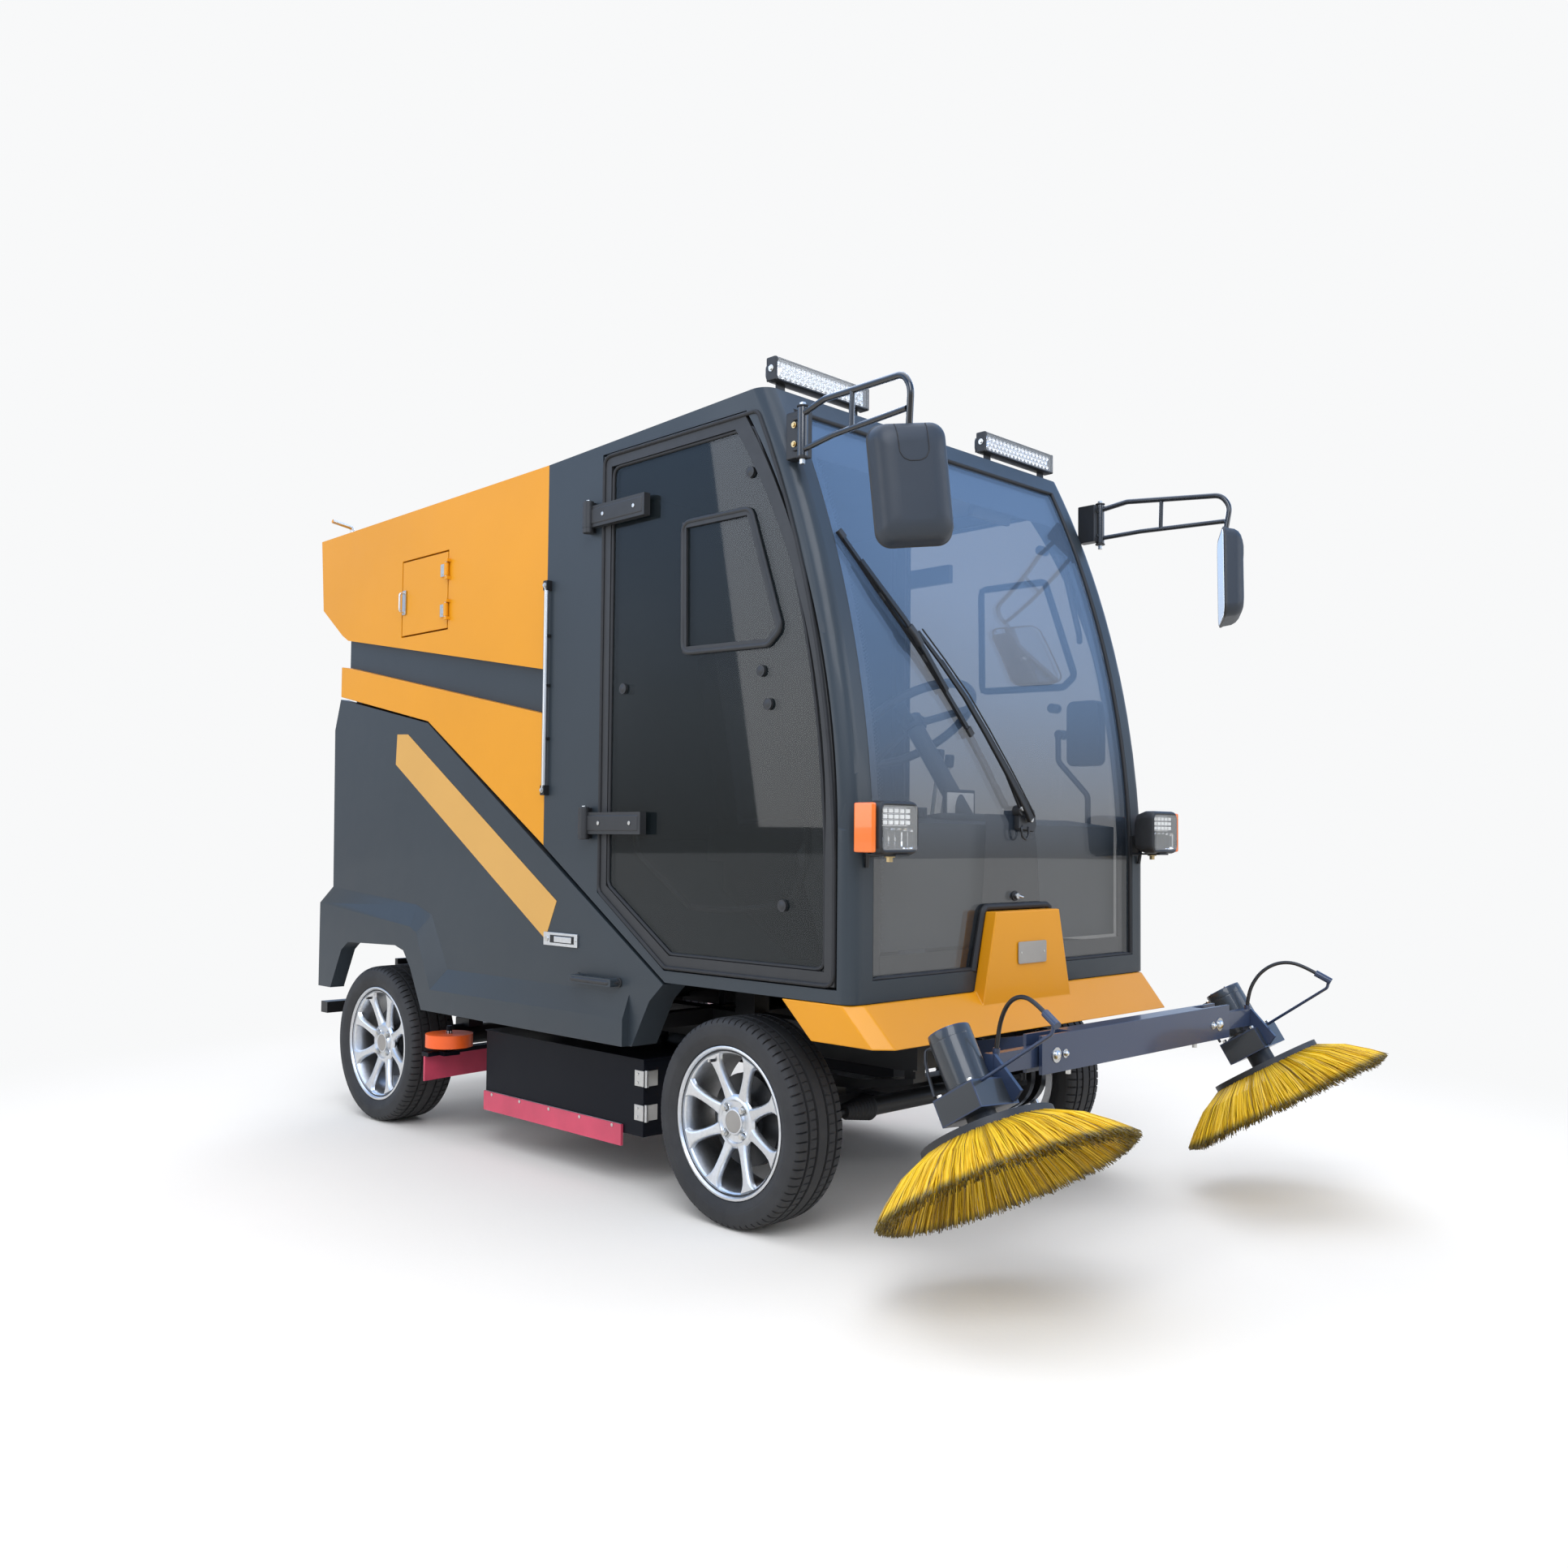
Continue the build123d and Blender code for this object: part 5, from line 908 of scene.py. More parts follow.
kit = Kit("windscreen_trim", "chassis")
FOOT, HEAD, HALF_SCREEN, SIDE_BORDER = 662, 2100, 588, 46
FOOT_BORDER, HEAD_BORDER, HALF_BORDER = 52, 118, 545
HALF_PANEL, PANEL_TOP, PANEL_TAPER = 150, 1068, 0.10
for left, right in (
    (-HALF_SCREEN, SIDE_BORDER - HALF_SCREEN), (HALF_SCREEN - SIDE_BORDER, HALF_SCREEN),
):
    screen_strip(kit, lambda z, x=left: x, lambda z, x=right: x, heights(FOOT, HEAD))
for low, high in ((FOOT, FOOT + FOOT_BORDER), (HEAD - HEAD_BORDER, HEAD)):
    screen_strip(kit, lambda z: -HALF_BORDER, lambda z: HALF_BORDER, heights(low, high))
# dots that fade the border out
for row in range(3):
    for z in heights(FOOT + 60, HEAD - 125, 9):
        for sgn in (-1, 1):
            x = sgn * (538 - 7 * row)
            place = screen(x, z + 4.5 * (row % 2), BEHIND)
            kit.rod("frit", place, place - screen_normal(x, z) * 0.0005, 2.6 - 0.7 * row, 6)
# black centre panel behind the glass, narrower towards the top
screen_strip(
    kit, lambda z: PANEL_TAPER * (z - 660) - HALF_PANEL, lambda z: HALF_PANEL - PANEL_TAPER * (z - 660),
    heights(FOOT, PANEL_TOP),
)
# rubber gasket round the glass
gasket = [screen(-589, z, 3) for z in heights(FOOT, HEAD, 60)]
gasket += [screen(x, HEAD, 3) for x in range(-560, 561, 80)]
gasket += [screen(589, z, 3) for z in heights(HEAD, FOOT, 60)]
gasket += [screen(x, FOOT, 3) for x in range(560, -561, -80)]
kit.tube("rubber", gasket, 6, segments=10, closed=True)
kit.done()

# washer nozzle and its grommet on the centre panel
kit = Kit("washer_nozzle", "chassis")
spot = screen(0, 848)
kit.stack(spot, (0, -1, 0), (("rubber", 0, 4, 14, 24, 1.2), ("steel", 4, 13, 8, 20, 2)))
kit.rod("steel", spot + Vector((0.004, -0.012, 0)), spot + Vector((0.018, -0.016, -0.004)), 3.2, 12, 1)
kit.done()


# ---- Wiper ----
def bar_on_screen(kit, key, points, width, height, stand, taper=1.0):
    """Flat bar that follows points over the glass, its section upright to the glass."""
    part = bmesh.new()
    rings = []
    places = [screen(x, z, h) for (x, z), h in zip(points, stand)]
    last = len(places) - 1
    for i, place in enumerate(places):
        along = (places[min(i + 1, last)] - places[max(i - 1, 0)]).normalized()
        normal = screen_normal(*points[i])
        across = along.cross(normal).normalized()
        k = 1 + (taper - 1) * i / last
        rings.append([
            part.verts.new(place + (across * u + normal * w) / 1000)
            for u, w in ring_section(width * k, height * k, 0.3)
        ])
    bridge(part, rings)
    kit.take(part, key)


kit = Kit("wiper_gear", "chassis")
# spindle cover with its cap nut
SPINDLE, SECOND = (40, 1054), (10, 1078)
hub, normal = screen(*SPINDLE), screen_normal(*SPINDLE)
cover = [(-40, -26), (30, -34), (44, -20), (40, 24), (22, 34), (-34, 22)]
kit.slab("plastic", cover, hub, (1, 0, 0), (0, 0.08, 1), 18, bevel=4)
kit.rod("zinc", hub + normal * 0.010, hub + normal * 0.034, 9, 20, bevel=2)
kit.rod("plastic", screen(*SECOND), screen(*SECOND) + normal * 0.026, 15, 24, bevel=4)
# main arm and parallel link
arm = [SPINDLE, (24, 1074), (-50, 1172), (-130, 1277), (-200, 1369), (-280, 1456), (-345, 1528)]
arm_stand = (30, 32, 30, 28, 26, 24, 20)
bar_on_screen(kit, "black", arm, 26, 13, arm_stand, 0.42)
second_arm = [(4, 1082), (-60, 1190), (-130, 1288), (-212, 1392), (-268, 1460)]
bar_on_screen(kit, "black", second_arm, 12, 8, (24, 25, 24, 22, 20), 0.8)
kit.rod("zinc", screen(4, 1082, 18), screen(4, 1082, 32), 7, 16, bevel=1.5)
# blade: rubber lip, bridge and claws
blade = [
    (-565, 1768), (-510, 1696), (-455, 1622), (-392, 1549), (-330, 1475), (-258, 1383), (-185, 1290),
]
bar_on_screen(kit, "rubber", blade, 8, 9, [6] * len(blade))
bar_on_screen(kit, "black", blade, 13, 4, [12] * len(blade))
bar_on_screen(kit, "black", blade[1:6], 16, 7, (15, 21, 24, 21, 15))
for x, z in blade[::2]:
    bar_on_screen(kit, "plastic", [(x, z), (x + 14, z - 18)], 20, 10, (12, 12))
bar_on_screen(kit, "plastic", [(-382, 1537), (-368, 1520), (-345, 1493)], 22, 16, (22, 24, 22), 0.9)
# washer pipe along the arm and its loop at the spindle
pipe_loop = (
    (20, 1040, 14), (8, 1030, 20), (10, 1008, 20), (26, 998, 20), (40, 1010, 20), (42, 1034, 20),
)
kit.tube("cable", [screen(*place) for place in pipe_loop], 3.4, bend=12)
pipe = [screen(x + 10, z + 6, h + 7) for (x, z), h in zip(arm, arm_stand)]
kit.tube("cable", pipe, 2.2, segments=8)
kit.done(["wiper"])


# ---- Mirrors ----
def rounded_outline(width, height, radius, steps=7):
    """Corner-rounded rectangle as (across, up) points, anticlockwise."""
    points = []
    for cx, cy, start in ((1, -1, -90), (1, 1, 0), (-1, 1, 90), (-1, -1, 180)):
        for k in range(steps + 1):
            a = math.radians(start + 90 * k / steps)
            points.append((
                cx * (width / 2 - radius) + radius * math.cos(a),
                cy * (height / 2 - radius) + radius * math.sin(a),
            ))
    return points


def rectangle(a1, a2, b1, b2):
    return [(a1, b1), (a2, b1), (a2, b2), (a1, b2)]


def shell(kit, key, layers, origin, across, up, ends=(True, True)):
    """Skin through stacked rounded rectangles, which stand off along across x up.

    Each layer is (width, height, corner radius, distance).
    """
    u, v = Vector(across).normalized(), Vector(up).normalized()
    n = u.cross(v)
    part = bmesh.new()
    bridge(part, [
        [part.verts.new(origin + (u * a + v * b + n * d) / 1000) for a, b in rounded_outline(*outline)]
        for *outline, d in layers
    ], ends=ends)
    kit.take(part, key)


MIRROR_HEAD = (728, -648, 1788)
MIRROR_WIDE, MIRROR_TALL = 186, 284
MIRROR_TURN, MIRROR_ROLL = math.radians(33), math.radians(6)
POST_X, POST_S = 676, -262              # upright that carries the mirror's loop


def mirror_axes(side):
    """Across and up directions of a mirror head, rolled a little on its arm."""
    face = Vector((-side * math.sin(MIRROR_TURN), math.cos(MIRROR_TURN), 0))
    across = Vector((side * math.cos(MIRROR_TURN), math.sin(MIRROR_TURN), 0)) * -side
    roll = Matrix.Rotation(side * MIRROR_ROLL, 3, face)
    across, up = roll @ across, roll @ UPWARD
    # outlines stack towards the front, away from the mirror glass
    return (-across if across.cross(up).dot(face) > 0 else across), up


def make_mirror(name, side):
    kit = Kit(f"mirror_{name}_shell", "chassis", side)
    across, up = mirror_axes(side)
    front = across.cross(up)
    origin = kit.at(MIRROR_HEAD)
    layers = []
    for distance, cut, radius in (
        (0, 3, 34), (0, 0, 36), (5, 0, 36), (7, 1.5, 35), (30, 5, 36), (42, 11, 38),
        (50, 20, 40), (55, 34, 42), (57.5, 52, 40),
    ):
        wide, tall = MIRROR_WIDE - 8 - 2 * cut, MIRROR_TALL - 10 - 2 * cut
        layers.append((wide, tall, max(12, radius - cut * 0.4), distance))
    shell(kit, "mirror_shell", layers, origin, across, up)
    # lip round the mirror glass
    outline = rounded_outline(MIRROR_WIDE - 12, MIRROR_TALL - 14, 33)
    lip = [origin + (across * a + up * b) / 1000 for a, b in outline]
    kit.tube("plastic", lip, 4.2, segments=8, closed=True)
    # seam round the cover of the arm's clamp, a tongue from the top edge
    seam = [
        (36, 128, 40.5), (35.5, 117, 50), (35, 103, 55.2), (34.5, 85, 57.8), (34, 62, 57.8),
        (26, 48, 57.8), (12, 42, 57.8),
    ]
    seam = [(-a, b, d) for a, b, d in seam] + seam[::-1]
    line = [origin + (across * a + up * b + front * d) / 1000 for a, b, d in seam]
    kit.tube("rubber", line, 1.3, segments=8, bend=16)
    kit.done(["mirror_arms"])

    kit = Kit(f"mirror_{name}_glass", "chassis")
    pane = rounded_outline(MIRROR_WIDE - 20, MIRROR_TALL - 22, 28)
    kit.slab("mirror", pane, origin, -across, up, 4, bevel=1)
    kit.done(["mirror_glass"])

    # tube loop with its strut, hinge barrel and bracket on the pillar
    kit = Kit(f"mirror_{name}_loop", "chassis", side)
    loop = [
        (POST_X, POST_S, 2045), (690, -350, 2060), (741, -640, 2040), (745, -665, 2004),
        (738, -655, 1930), (735, -652, 1896),
    ]
    kit.tube("gloss_black", loop, 8, segments=16, bend=48, steps=8)
    lower = [(POST_X, POST_S, 1955), (700, -392, 1962), (741, -650, 1960)]
    kit.tube("gloss_black", lower, 7, segments=16, bend=40)
    kit.rod("gloss_black", (710, -455, 1961), (710, -458, 2056), 6.5, 16)
    kit.stack((POST_X, POST_S, 1938), UPWARD, (
        ("gloss_black", 0, 124, 13, 28, 2.5), ("rubber", -4, 0, 15, 28, 1),
        ("rubber", 124, 128, 15, 28, 1), ("zinc", -18, -4, 7.5, 6, 1.2),
        ("zinc", 128, 136, 8.5, 6, 1.5),
    ))
    # folded bracket against the pillar, with its two screws
    kit.box("black", (658, -232, 2000), (34, 60, 118), 4)
    for z, screw in ((1962, 1976), (2038, 2024)):
        kit.box("black", (668, -248, z), (26, 34, 9), 2)
        kit.bolt((676, -232, screw), (side, 0, 0), 5.5, 4, "brass")
    kit.done()


for name, side in SIDES:
    make_mirror(name, side)


# ---- Headlamps ----
LAMP = (610, -487, 1025)
LAMP_WIDE, LAMP_DEEP, LAMP_TALL = 150, 74, 128
LEFTWARD = Vector((-1, 0, 0))           # LEFTWARD x UPWARD points to the rear
BRACKET_X, BRACKET_Z = 600, 958


def make_headlamp(name, side):
    kit = Kit(f"headlamp_{name}_case", "chassis", side)
    x, s, z = LAMP
    front = kit.at((x, s - LAMP_DEEP / 2 - 2, z))
    wide, tall = LAMP_WIDE - 4, LAMP_TALL - 2
    # thick rounded bezel with a pocket, then the rear shell
    shell(kit, "plastic", [
        (wide - 30, tall - 30, 10, 30), (wide - 26, tall - 26, 12, 6), (wide - 22, tall - 22, 14, 1),
        (wide - 14, tall - 14, 18, -1), (wide - 5, tall - 5, 22, 2), (wide, tall, 24, 9),
        (wide, tall, 24, 34), (wide - 16, tall - 18, 22, 62), (wide - 40, tall - 42, 18, 72),
    ], front, LEFTWARD, UPWARD)
    # LED chips on a bright board, and the bowl reflector below them
    board = front + Vector((0, 0.016, 0.026))
    kit.box("reflector", board, (wide - 34, 3, 44), 1)
    for row in range(3):
        for k in range(5):
            place = board + Vector(((k - 2) * 0.0205, -0.004, (row - 1) * 0.0138))
            kit.box("led", place, (15, 6, 9.5), 1.2)
            kit.box("plastic", place + Vector((0, 0.0015, 0)), (18, 3, 12), 0.6)
    bowl = front + Vector((0, 0.012, -0.027))
    shell(kit, "reflector", [
        (wide - 36, 52, 8, -6), (wide - 44, 44, 10, 6), (wide - 62, 28, 12, 12), (wide - 84, 14, 6, 14),
    ], bowl, LEFTWARD, UPWARD, ends=(False, True))
    for k in (-1, 0, 1):
        kit.box("led", bowl + Vector((0.022 * k, 0.008, 0)), (12, 5, 9), 2)
    for k in (-1.5, -0.5, 0.5, 1.5):
        kit.box("plastic", bowl + Vector((0.0235 * k, 0.002, 0)), (1.6, 14, 40), 0.4)
    # bracket from the cab with its bolt, and the cable
    foot = kit.at((BRACKET_X, -475, BRACKET_Z))
    kit.slab("black", rectangle(-25, 25, -52, 40), foot, (1, 0, 0), (0, 1, 0), 5, bevel=1)
    kit.box("black", (BRACKET_X, -431, 985), (50, 8, 60), 1.5)
    kit.stack((BRACKET_X, s, BRACKET_Z), UPWARD, (
        ("brass", -14, 0, 8.5, 6, 1.2), ("brass", -3, 0, 13, 24, 0.6), ("black", 0, 8, 20, 24, 2),
    ))
    kit.tube("cable", [(620, -452, 1000), (622, -437, 975), (618, -432, 930)], 5, bend=16)
    kit.done(["lamp_housings"])


for name, side in SIDES:
    make_headlamp(name, side)


# ---- Roof work lamps ----
BAR = (447.5, -120, 2210)
BAR_LEDS, BAR_FINS = 17, 22


def make_bar(name, side):
    kit = Kit(f"led_bar_{name}", "chassis")
    x, s, z = side * BAR[0], BAR[1], BAR[2]
    front = P(x, s + 4, z)
    shell(kit, "plastic", [
        (338, 44, 8, 10), (344, 50, 9, 2), (352, 58, 11, 0), (361, 64, 14, 5), (361, 64, 14, 24),
        (340, 48, 16, 48),
    ], front, LEFTWARD, UPWARD)
    kit.box("reflector", front + Vector((0, 0.0095, 0)), (334, 2, 42), 0.5)
    cup = [(0, 4.2), (4.5, 6.6), (5.0, 6.9), (4.2, 7.4), (-0.4, 7.4)]
    for row in range(3):
        count = BAR_LEDS - (row % 2)
        for k in range(count):
            place = front + Vector(((k - (count - 1) / 2) * 0.0192, 0.0082, (row - 1) * 0.0135))
            kit.lathe("reflector", cup, place, (0, -1, 0), segments=12)
            kit.rod("led", place, place + Vector((0, -0.003, 0)), 3.6, 10, bevel=0.8)
    # cooling fins behind and end caps
    for k in range(BAR_FINS):
        kit.box("plastic", (x + (k - 10.5) * 15.2, s + 46, z), (3, 22, 44), 0.6)
    for end in (-1, 1):
        kit.box("plastic", (x + end * 178, s + 20, z), (10, 34, 62), 4)
        kit.bolt((x + end * 183, s + 18, z), (end, 0, 0), 6, 4)
        foot_x = x + end * 141.5
        kit.box("black", (foot_x, s + 26, 2167), (30, 6, 26), 1)
        kit.box("black", (foot_x, s + 38, 2160), (32, 34, 7), 1.5)
        kit.bolt((foot_x, s + 44, 2163), (0, 0, 1), 6, 5, "brass")
    kit.done(["lamp_housings"])


for name, side in SIDES:
    make_bar(name, side)


# ---- Side trim: stripe, latch, pull handle, sight tube, filler fittings ----
STRIPE = ((1698, 1345), (1627, 1342), (747, 806), (802, 691), (1705, 1241))
PANEL_FACE = 668
LATCH_Z, HANDLE_Z = 694, 590


def side_slab(kit, key, outline, x, thick, bevel):
    """Plate on a side face from (station, height) points, its outer face thick beyond x."""
    points = [(kit.side * s, z) for s, z in outline]
    kit.slab(key, points, (x, 0, 0), (0, kit.side, 0), (0, 0, 1), thick, bevel)


for name, side in SIDES:
    soften(f"brush_arm_{name}", "brush_blue", 2)
    soften(f"door_frame_{name}", "plastic", 2)
    kit = Kit(f"side_trim_{name}", f"side_panel_{name}", side)
    side_slab(kit, "tan", STRIPE, PANEL_FACE, 1.2, 0.3)
    # recessed paddle latch in a steel frame; the recess round the paddle is a flat black sheet, painted
    # shade
    side_slab(kit, "alloy", rectangle(636.5, 803.5, 674.5, 713.5), PANEL_FACE, 6.2, 1.5)
    # flat black sheet: painted shade of the recess round the paddle
    side_slab(kit, "black", rectangle(652, 770, 683, 706), PANEL_FACE + 6.2, 0.5, 0.1)
    side_slab(kit, "alloy", rectangle(660, 745, 686, 703), PANEL_FACE + 6.7, 4, 1.6)
    kit.rod("zinc", (PANEL_FACE + 6, 786, LATCH_Z), (PANEL_FACE + 9, 786, LATCH_Z), 8, 20, bevel=1)
    for s in (644, 796):
        kit.bolt((PANEL_FACE + 6, s, LATCH_Z), (side, 0, 0), 3.5, 1.5, "zinc", washer=False)
    # folded pull handle
    grip = [(1, 446), (30, 452), (30, 628), (1, 634)]
    kit.tube("plastic", [(PANEL_FACE + x, s, HANDLE_Z) for x, s in grip], 8, segments=14, bend=14)
    for s in (446, 634):
        kit.rod("plastic", (PANEL_FACE, s, HANDLE_Z), (PANEL_FACE + 5, s, HANDLE_Z), 14, 24, bevel=1.5)
    kit.done()

SIGHT_S = 806
kit = Kit("sight_tube_fittings", "chassis", -1)
kit.rod("steel", (680, SIGHT_S, 1128), (680, SIGHT_S, 1758), 7.6, 20, bevel=0.5)
for z in (1135, 1752):
    kit.box("black", (676, SIGHT_S, z), (22, 20, 30), 2)
    kit.bolt((687, SIGHT_S, z), (-1, 0, 0), 5.5, 4)
for z in (1290, 1450, 1600):
    kit.box("black", (675, SIGHT_S, z), (14, 20, 8), 1)
kit.done(["sight_tube"])

FLAP_HINGE_S, FLAP_LATCH_S = 1385, 1664
kit = Kit("filler_fittings", "filler_flap", -1)
for z in (1745, 1880):
    kit.rod("zinc", (676.5, FLAP_HINGE_S, z - 26), (676.5, FLAP_HINGE_S, z + 26), 5, 16, bevel=0.8)
    kit.box("zinc", (671.5, 1408, z), (3, 40, 42), 0.8)
    for rise in (-12, 12):
        kit.bolt((673, 1414, z + rise), (-1, 0, 0), 3.2, 1.6, "zinc", washer=False)
kit.box("steel", (672, FLAP_LATCH_S, 1800), (4, 22, 84), 1)
grip = [(673, 1766), (690, 1770), (690, 1830), (673, 1834)]
kit.tube("zinc", [(x, FLAP_LATCH_S, z) for x, z in grip], 3.5, bend=8)
kit.done()

# steel lifting rods at the tank's rear edge
ROD_X, ROD_S = 620, 2150
kit = Kit("tank_trim", "chassis")
for name, side in SIDES:
    rod = [(ROD_X, 2100), (ROD_X, 2146), (699.5, 2158)]
    kit.tube("steel", [P(side * x, ROD_S, z) for x, z in rod], 7.8, segments=14, bend=14)
    kit.rod("zinc", (side * ROD_X, ROD_S, 2098), (side * ROD_X, ROD_S, 2106), 12, 6, bevel=1)
kit.done()


# ---- Doors ----
HINGE_X, HINGE_S = 690, 590


def door_path(shrink):
    """Door outline in (station, height), drawn in by shrink."""
    top, sill, rear, back = 2095 - shrink, 645 + shrink, 546 - shrink, 52 + shrink
    front = [(front_station(z) + back, z) for z in heights(top, 950, 90)]
    return front + [(KNEE_S + back, sill), (250 - shrink / 2, sill), (rear, 842 + shrink / 2), (rear, top)]


for name, side in SIDES:
    kit = Kit(f"door_{name}_trim", f"door_{name}", side)

    def door_profile(key, x, points, radius, segments):
        path = rounded([kit.at((x, s, z)) for s, z in points], 0.03, 4, closed=True)
        kit.tube(key, path, radius, segments, closed=True)

    # rubber profiles round the frame, in its rebate and round the pane
    door_profile("rubber", 669, door_path(2), 5.5, 8)
    door_profile("rubber", 648, door_path(-2), 7, 8)
    door_profile("rubber", 661.5, door_path(38), 5, 8)
    # strap hinges: arm, barrel, caps and screws
    for z in (1036, 1922):
        for s in (360, 392):
            kit.rod("black", (676, s, z), (HINGE_X, s, z), 15, 24, bevel=4)
        kit.box("plastic", (684, 462, z), (17, 234, 46), 6, segments=3)
        barrel = ("plastic", -47, 47, 16, 28, 4), ("zinc", 46, 50, 7, 20, 1)
        kit.stack((HINGE_X, HINGE_S, z), UPWARD, barrel)
        for s in (380, 520):
            kit.rod("zinc", (692, s, z), (694.5, s, z), 6, 6, bevel=0.6)
    # vent pane frame, and the buttons that hold the panes
    vent = ((199, 1849), (-66, 1845), (-182, 1522), (-136, 1486), (193, 1494))
    door_profile("plastic", 664, vent, 7, 10)
    button = [(0, 0), (0, 15), (3, 15), (7, 12), (9, 6), (9.5, 0)]
    for s, z in ((-64, 1940), (450, 1416), (-110, 1422), (-194, 831), (-137, 1336), (435, 1023)):
        kit.lathe("plastic", button, (660, s, z), (side, 0, 0), 24)
    kit.done()

# ---- Spine, plate and bumper seams ----
kit = Kit("spine_trim", "chassis")
kit.slab("plate", rounded_outline(128, 58, 6), P(12, -466.5, 700), (1, 0, 0), (0, 0, 1), 2.5, bevel=0.6)
for x in (-40, 64):
    kit.bolt((x, -469, 700), (0, -1, 0), 3.4, 1.4, "zinc", washer=False)
rim = [(192, 658), (152, 813), (140, 821)]
rim = [(-x, z) for x, z in rim] + rim[::-1]
kit.tube("rubber", [(x, -424, z) for x, z in rim], 9, segments=10, bend=18)
kit.box("rubber", (0, -412, 605), (1250, 18, 9), 1)
kit.done()


# ---- Side brush gear ----
for name, side in SIDES:
    kit = Kit(f"brush_motor_{name}", f"brush_arm_{name}", side)
    axis, u, v = brush_axes(side)
    base = kit.at(tuple(BRUSH)) + axis * 0.034

    def on_motor(along, a=0, b=0):
        """A place by its distances along the motor and across it, in millimetres."""
        return base + (axis * along + u * a + v * b) / 1000

    kit.box("dark_metal", on_motor(31), (121, 131, 62), 5, Matrix((u, v, axis)).transposed())
    for a in (-47, 47):
        for b in (-52, 52):
            kit.bolt(on_motor(61, a, b), axis, 6.5, 7)
    kit.lathe("dark_metal", [
        (60, 0), (60, 57), (66, 57), (68, 53), (70, 49.7), (172, 49.7), (173, 49.2), (175, 49.2),
        (176, 49.7), (193, 49.7), (197, 47), (197.6, 42), (197.6, 0),
    ], base, axis, 56)
    kit.rod("zinc", on_motor(184, 45), on_motor(184, 58), 8, 6, bevel=1)
    kit.rod("plastic", on_motor(184, 56), on_motor(184, 64), 6, 16, bevel=1.5)
    lead = [(184, 62), (186, 76, 6), (160, 80, 16), (120, 70, 36), (70, 58, 56)]
    kit.tube("cable", [on_motor(*place) for place in lead], 3.6, segments=10, bend=26)
    for k in range(4):
        a = math.radians(45 + 90 * k)
        place = on_motor(198, 34 * math.cos(a), 34 * math.sin(a))
        kit.bolt(place, axis, 4, 2.5, "zinc", washer=False)
    kit.done()

BEAM_FACE, BEAM_Z = -810, 508
kit = Kit("beam_bolts", "brush_beam")
for name, side in SIDES:
    for x, r in ((388, 11), (352, 6.5)):
        seat = P(side * x, BEAM_FACE - 2, BEAM_Z)
        kit.rod("steel", P(side * x, BEAM_FACE, BEAM_Z), seat, r * 1.6, 28, bevel=0.5)
        dome = [(0, 0), (0, r), (3, r), (6, r * 0.8), (8, r * 0.4), (8.5, 0)]
        kit.lathe("zinc", dome, seat, (0, -1, 0), 28)
    kit.rod("zinc", (side * 300, -784, 468), (side * 300, -784, 452), 7, 6, bevel=1)
kit.done()

# ---- Scrub deck, squeegee and roller details ----
STRIP_Z, DECK_PIN_S = 172, 409
kit = Kit("scrub_deck_trim", "scrub_deck")
for name, side in SIDES:
    kit.side = side
    for k in range(5):
        s = 545 + 155 * k
        kit.rod("zinc", (600, s, STRIP_Z), (606, s, STRIP_Z), 8, 24, bevel=0.8)
        kit.bolt((606, s, STRIP_Z), (side, 0, 0), 5.5, 4, "zinc", washer=False)
    # steel clamping strip over the skirt, and the hinges at its front end
    kit.box("steel", (602, 859, STRIP_Z), (4, 700, 16), 1)
    for z in (222, 318):
        kit.rod("steel", (594, DECK_PIN_S, z - 24), (594, DECK_PIN_S, z + 24), 6, 18, bevel=1)
        kit.box("steel", (601.5, 432, z), (3, 40, 44), 1)
        for rise in (-12, 12):
            kit.bolt((603, 438, z + rise), (side, 0, 0), 4, 2, "zinc", washer=False)
        kit.box("steel", (572, 412, z), (40, 3, 44), 1)
    kit.box("navy", (540, 814, 371), (128, 806, 4), 1)
kit.done()

ROLLER_X, ROLLER_S = 624, 1400
kit = Kit("guide_roller_hubs", "squeegee")
for name, side in SIDES:
    kit.side = side
    hub = ("zinc", 336, 352, 10, 6, 1.2), ("steel", 332, 337, 20, 32, 1)
    kit.stack((ROLLER_X, ROLLER_S, 0), UPWARD, hub)
kit.done()

# ---- Steering boots ----
RACK_S, RACK_Z = -110, 270
FOLDS, FOLD_PITCH, FOLD_TAPER = 9, 11, 0.15
profile = [(0, 0), (0, 33.5)]
for k in range(FOLDS):
    along = FOLD_PITCH * k
    profile += [(along + 2, 33.3 - FOLD_TAPER * along), (along + 7, 36 - FOLD_TAPER * along)]
profile += [(101, 18.6), (101, 0)]
kit = Kit("rack_boots", "chassis")
for name, side in SIDES:
    kit.lathe("rubber", profile, P(side * 240, RACK_S, RACK_Z), (side, 0, 0), 36)
kit.done()

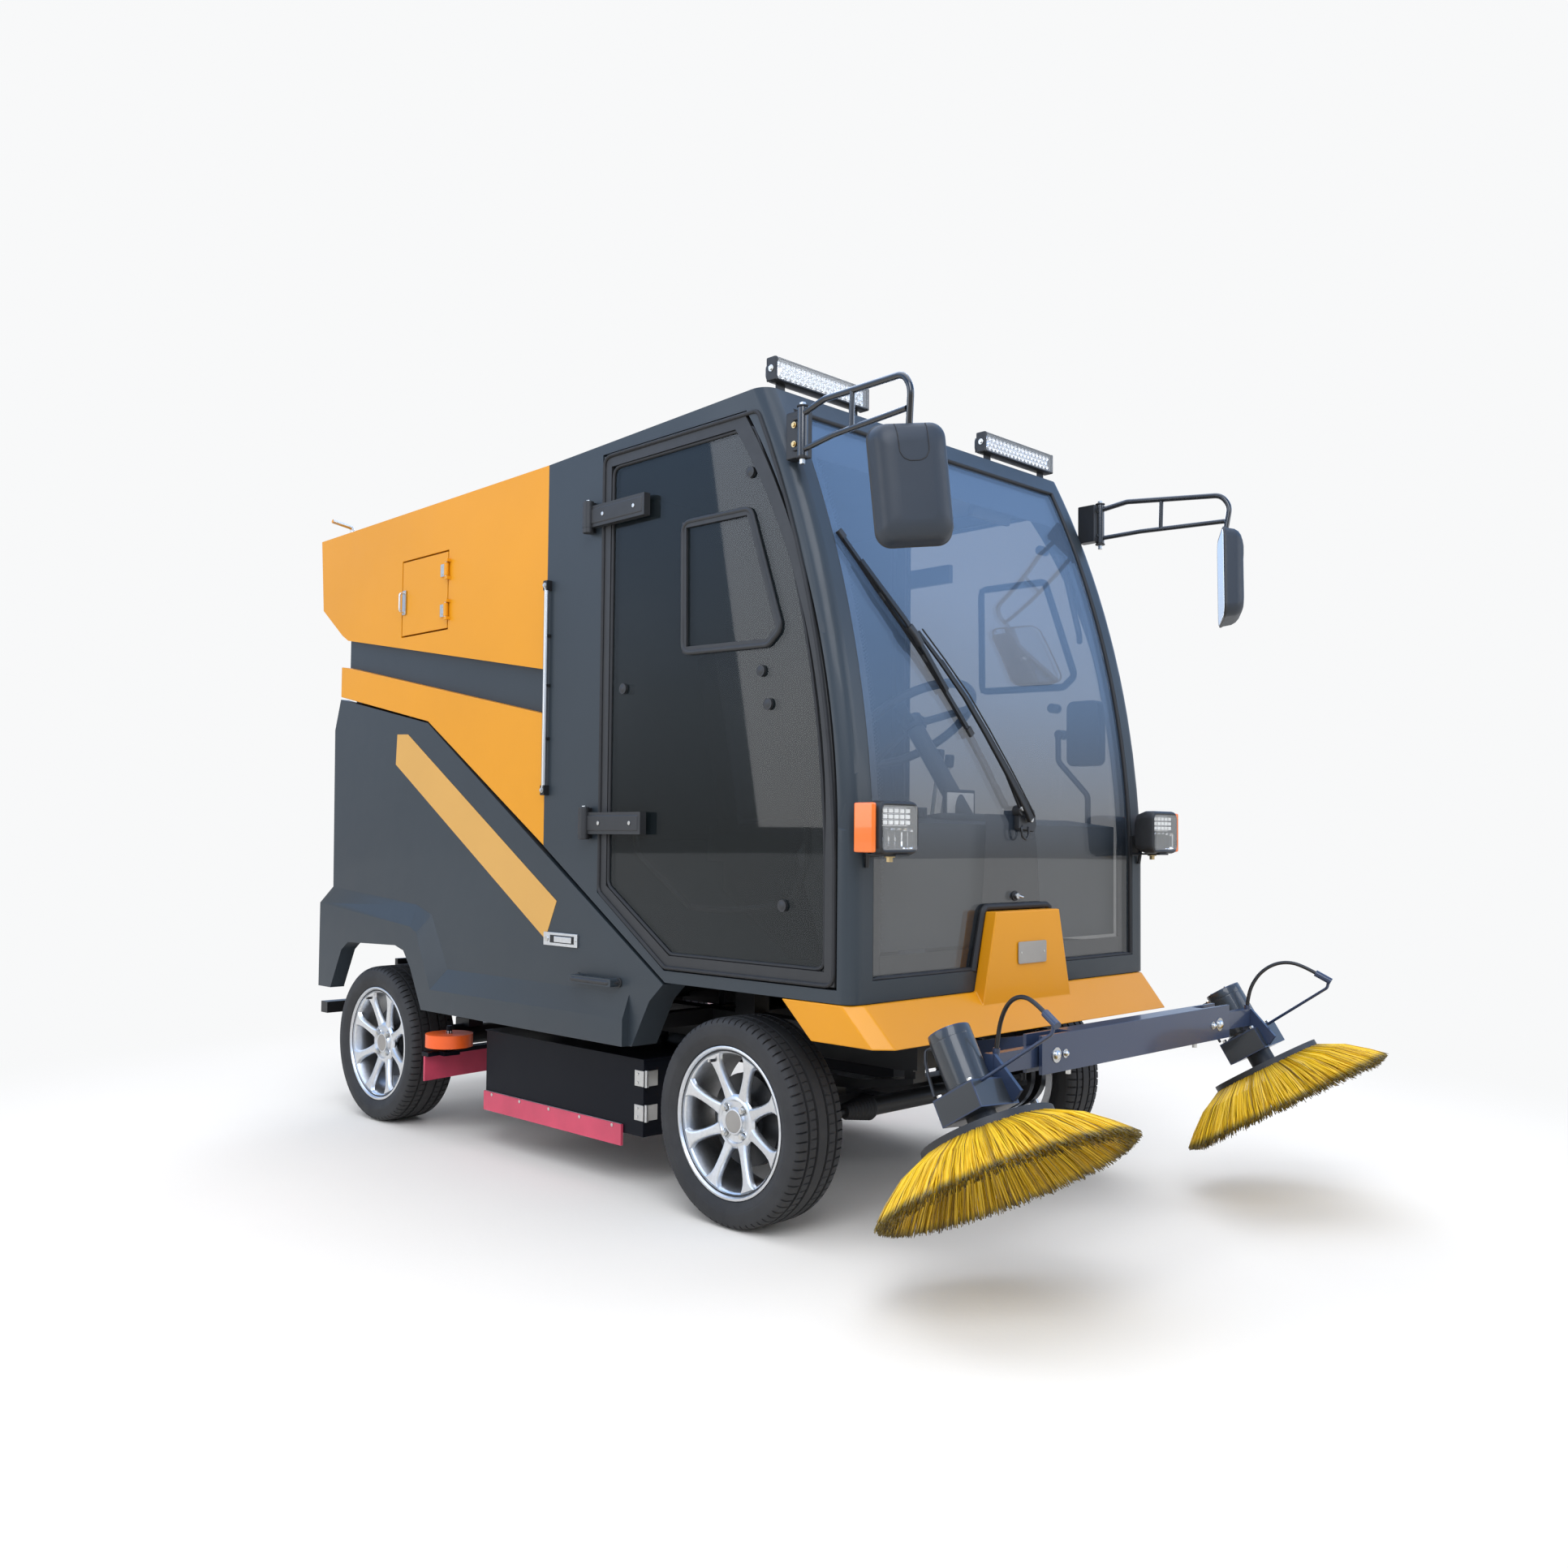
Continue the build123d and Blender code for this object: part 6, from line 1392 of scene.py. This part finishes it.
# ---- Cab interior: cushions, controls and mirror ----
kit = Kit("cab_controls", "chassis")
kit.slab("inner", rounded_outline(300, 130, 26), P(0, -222, 1064), (1, 0, 0), (0, -1, 0.12), 22, bevel=6)
kit.box("led", (0, -232, 1100), (120, 6, 60), 3)
kit.box("plastic", (0, -228, 1100), (140, 8, 78), 6)
for x in (-210, 225):
    kit.rod("plastic", (x, -250, 1056), (x, -250, 1084), 26, 28, bevel=3)
for x, tip in ((300, 1240), (350, 1225)):
    kit.rod("steel", (x, 120, 1010), (x + 8, 90, tip), 6, 14)
    kit.rod("plastic", (x + 8, 90, tip), (x + 9, 86, tip + 42), 15, 24, bevel=7)
# pedals
for x in (-90, 90):
    kit.box("rubber", (x, -285, 742), (74, 14, 62), 4, Matrix.Rotation(math.radians(-28), 3, "X"))
    kit.rod("black", (x, -275, 760), (x, -300, 900), 7, 14)
# interior mirror under the roof
kit.rod("plastic", (250, -120, 2080), (250, -150, 2010), 6, 14)
kit.box("plastic", (250, -150, 1985), (190, 22, 62), 9, Matrix.Rotation(math.radians(12), 3, "X"))
# grab rails inside both doors' front posts
rail = [(600, -150, 1900), (575, -185, 1890), (575, -250, 1640), (600, -235, 1620)]
for name, side in SIDES:
    kit.side = side
    kit.tube("plastic", rail, 9, bend=26)
kit.done()

PUFF = 0.022                # rise of a cushion's middle
SEAM, SEAM_DEPTH, SEAM_SHARP = 0.28, 0.006, 22          # its piped seams, SEAM in shares of the width
TOP = 0.4                   # points above this share of the height are on the cushion's top


def cushion(name, size, centre, turn):
    """Upholstered block: a pillowed top over piped seams."""
    w, d, h = size
    part = bmesh.new()
    bmesh.ops.create_cube(part, size=1)
    bmesh.ops.subdivide_edges(part, edges=part.edges, cuts=9, use_grid_fill=True)
    for vert in part.verts:
        a, b, c = vert.co
        barrel = 1 - 0.06 * (abs(2 * c) ** 3)
        vert.co = Vector((a * w * barrel / 1000, b * d * barrel / 1000, c * h / 1000))
        if c > TOP:
            swell = (1 - (2 * a) ** 4) * (1 - (2 * b) ** 4)
            vert.co.z += PUFF * swell - SEAM_DEPTH * math.exp(-((abs(a) - SEAM) * SEAM_SHARP) ** 2)
    part.transform(Matrix.Translation(P(*centre)) @ turn.to_4x4())
    kit = Kit(name, "chassis")
    kit.take(part, "seat")
    kit.done(subdivide=1)


cushion("seat_cushion", (476, 474, 112), (0, 328, 981), Matrix.Identity(3))
cushion("seat_back", (446, 556, 92), (0, 541, 1303), Matrix.Rotation(math.radians(78), 3, "X"))


# ---- Bounds of the shown objects ----
low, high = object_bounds()
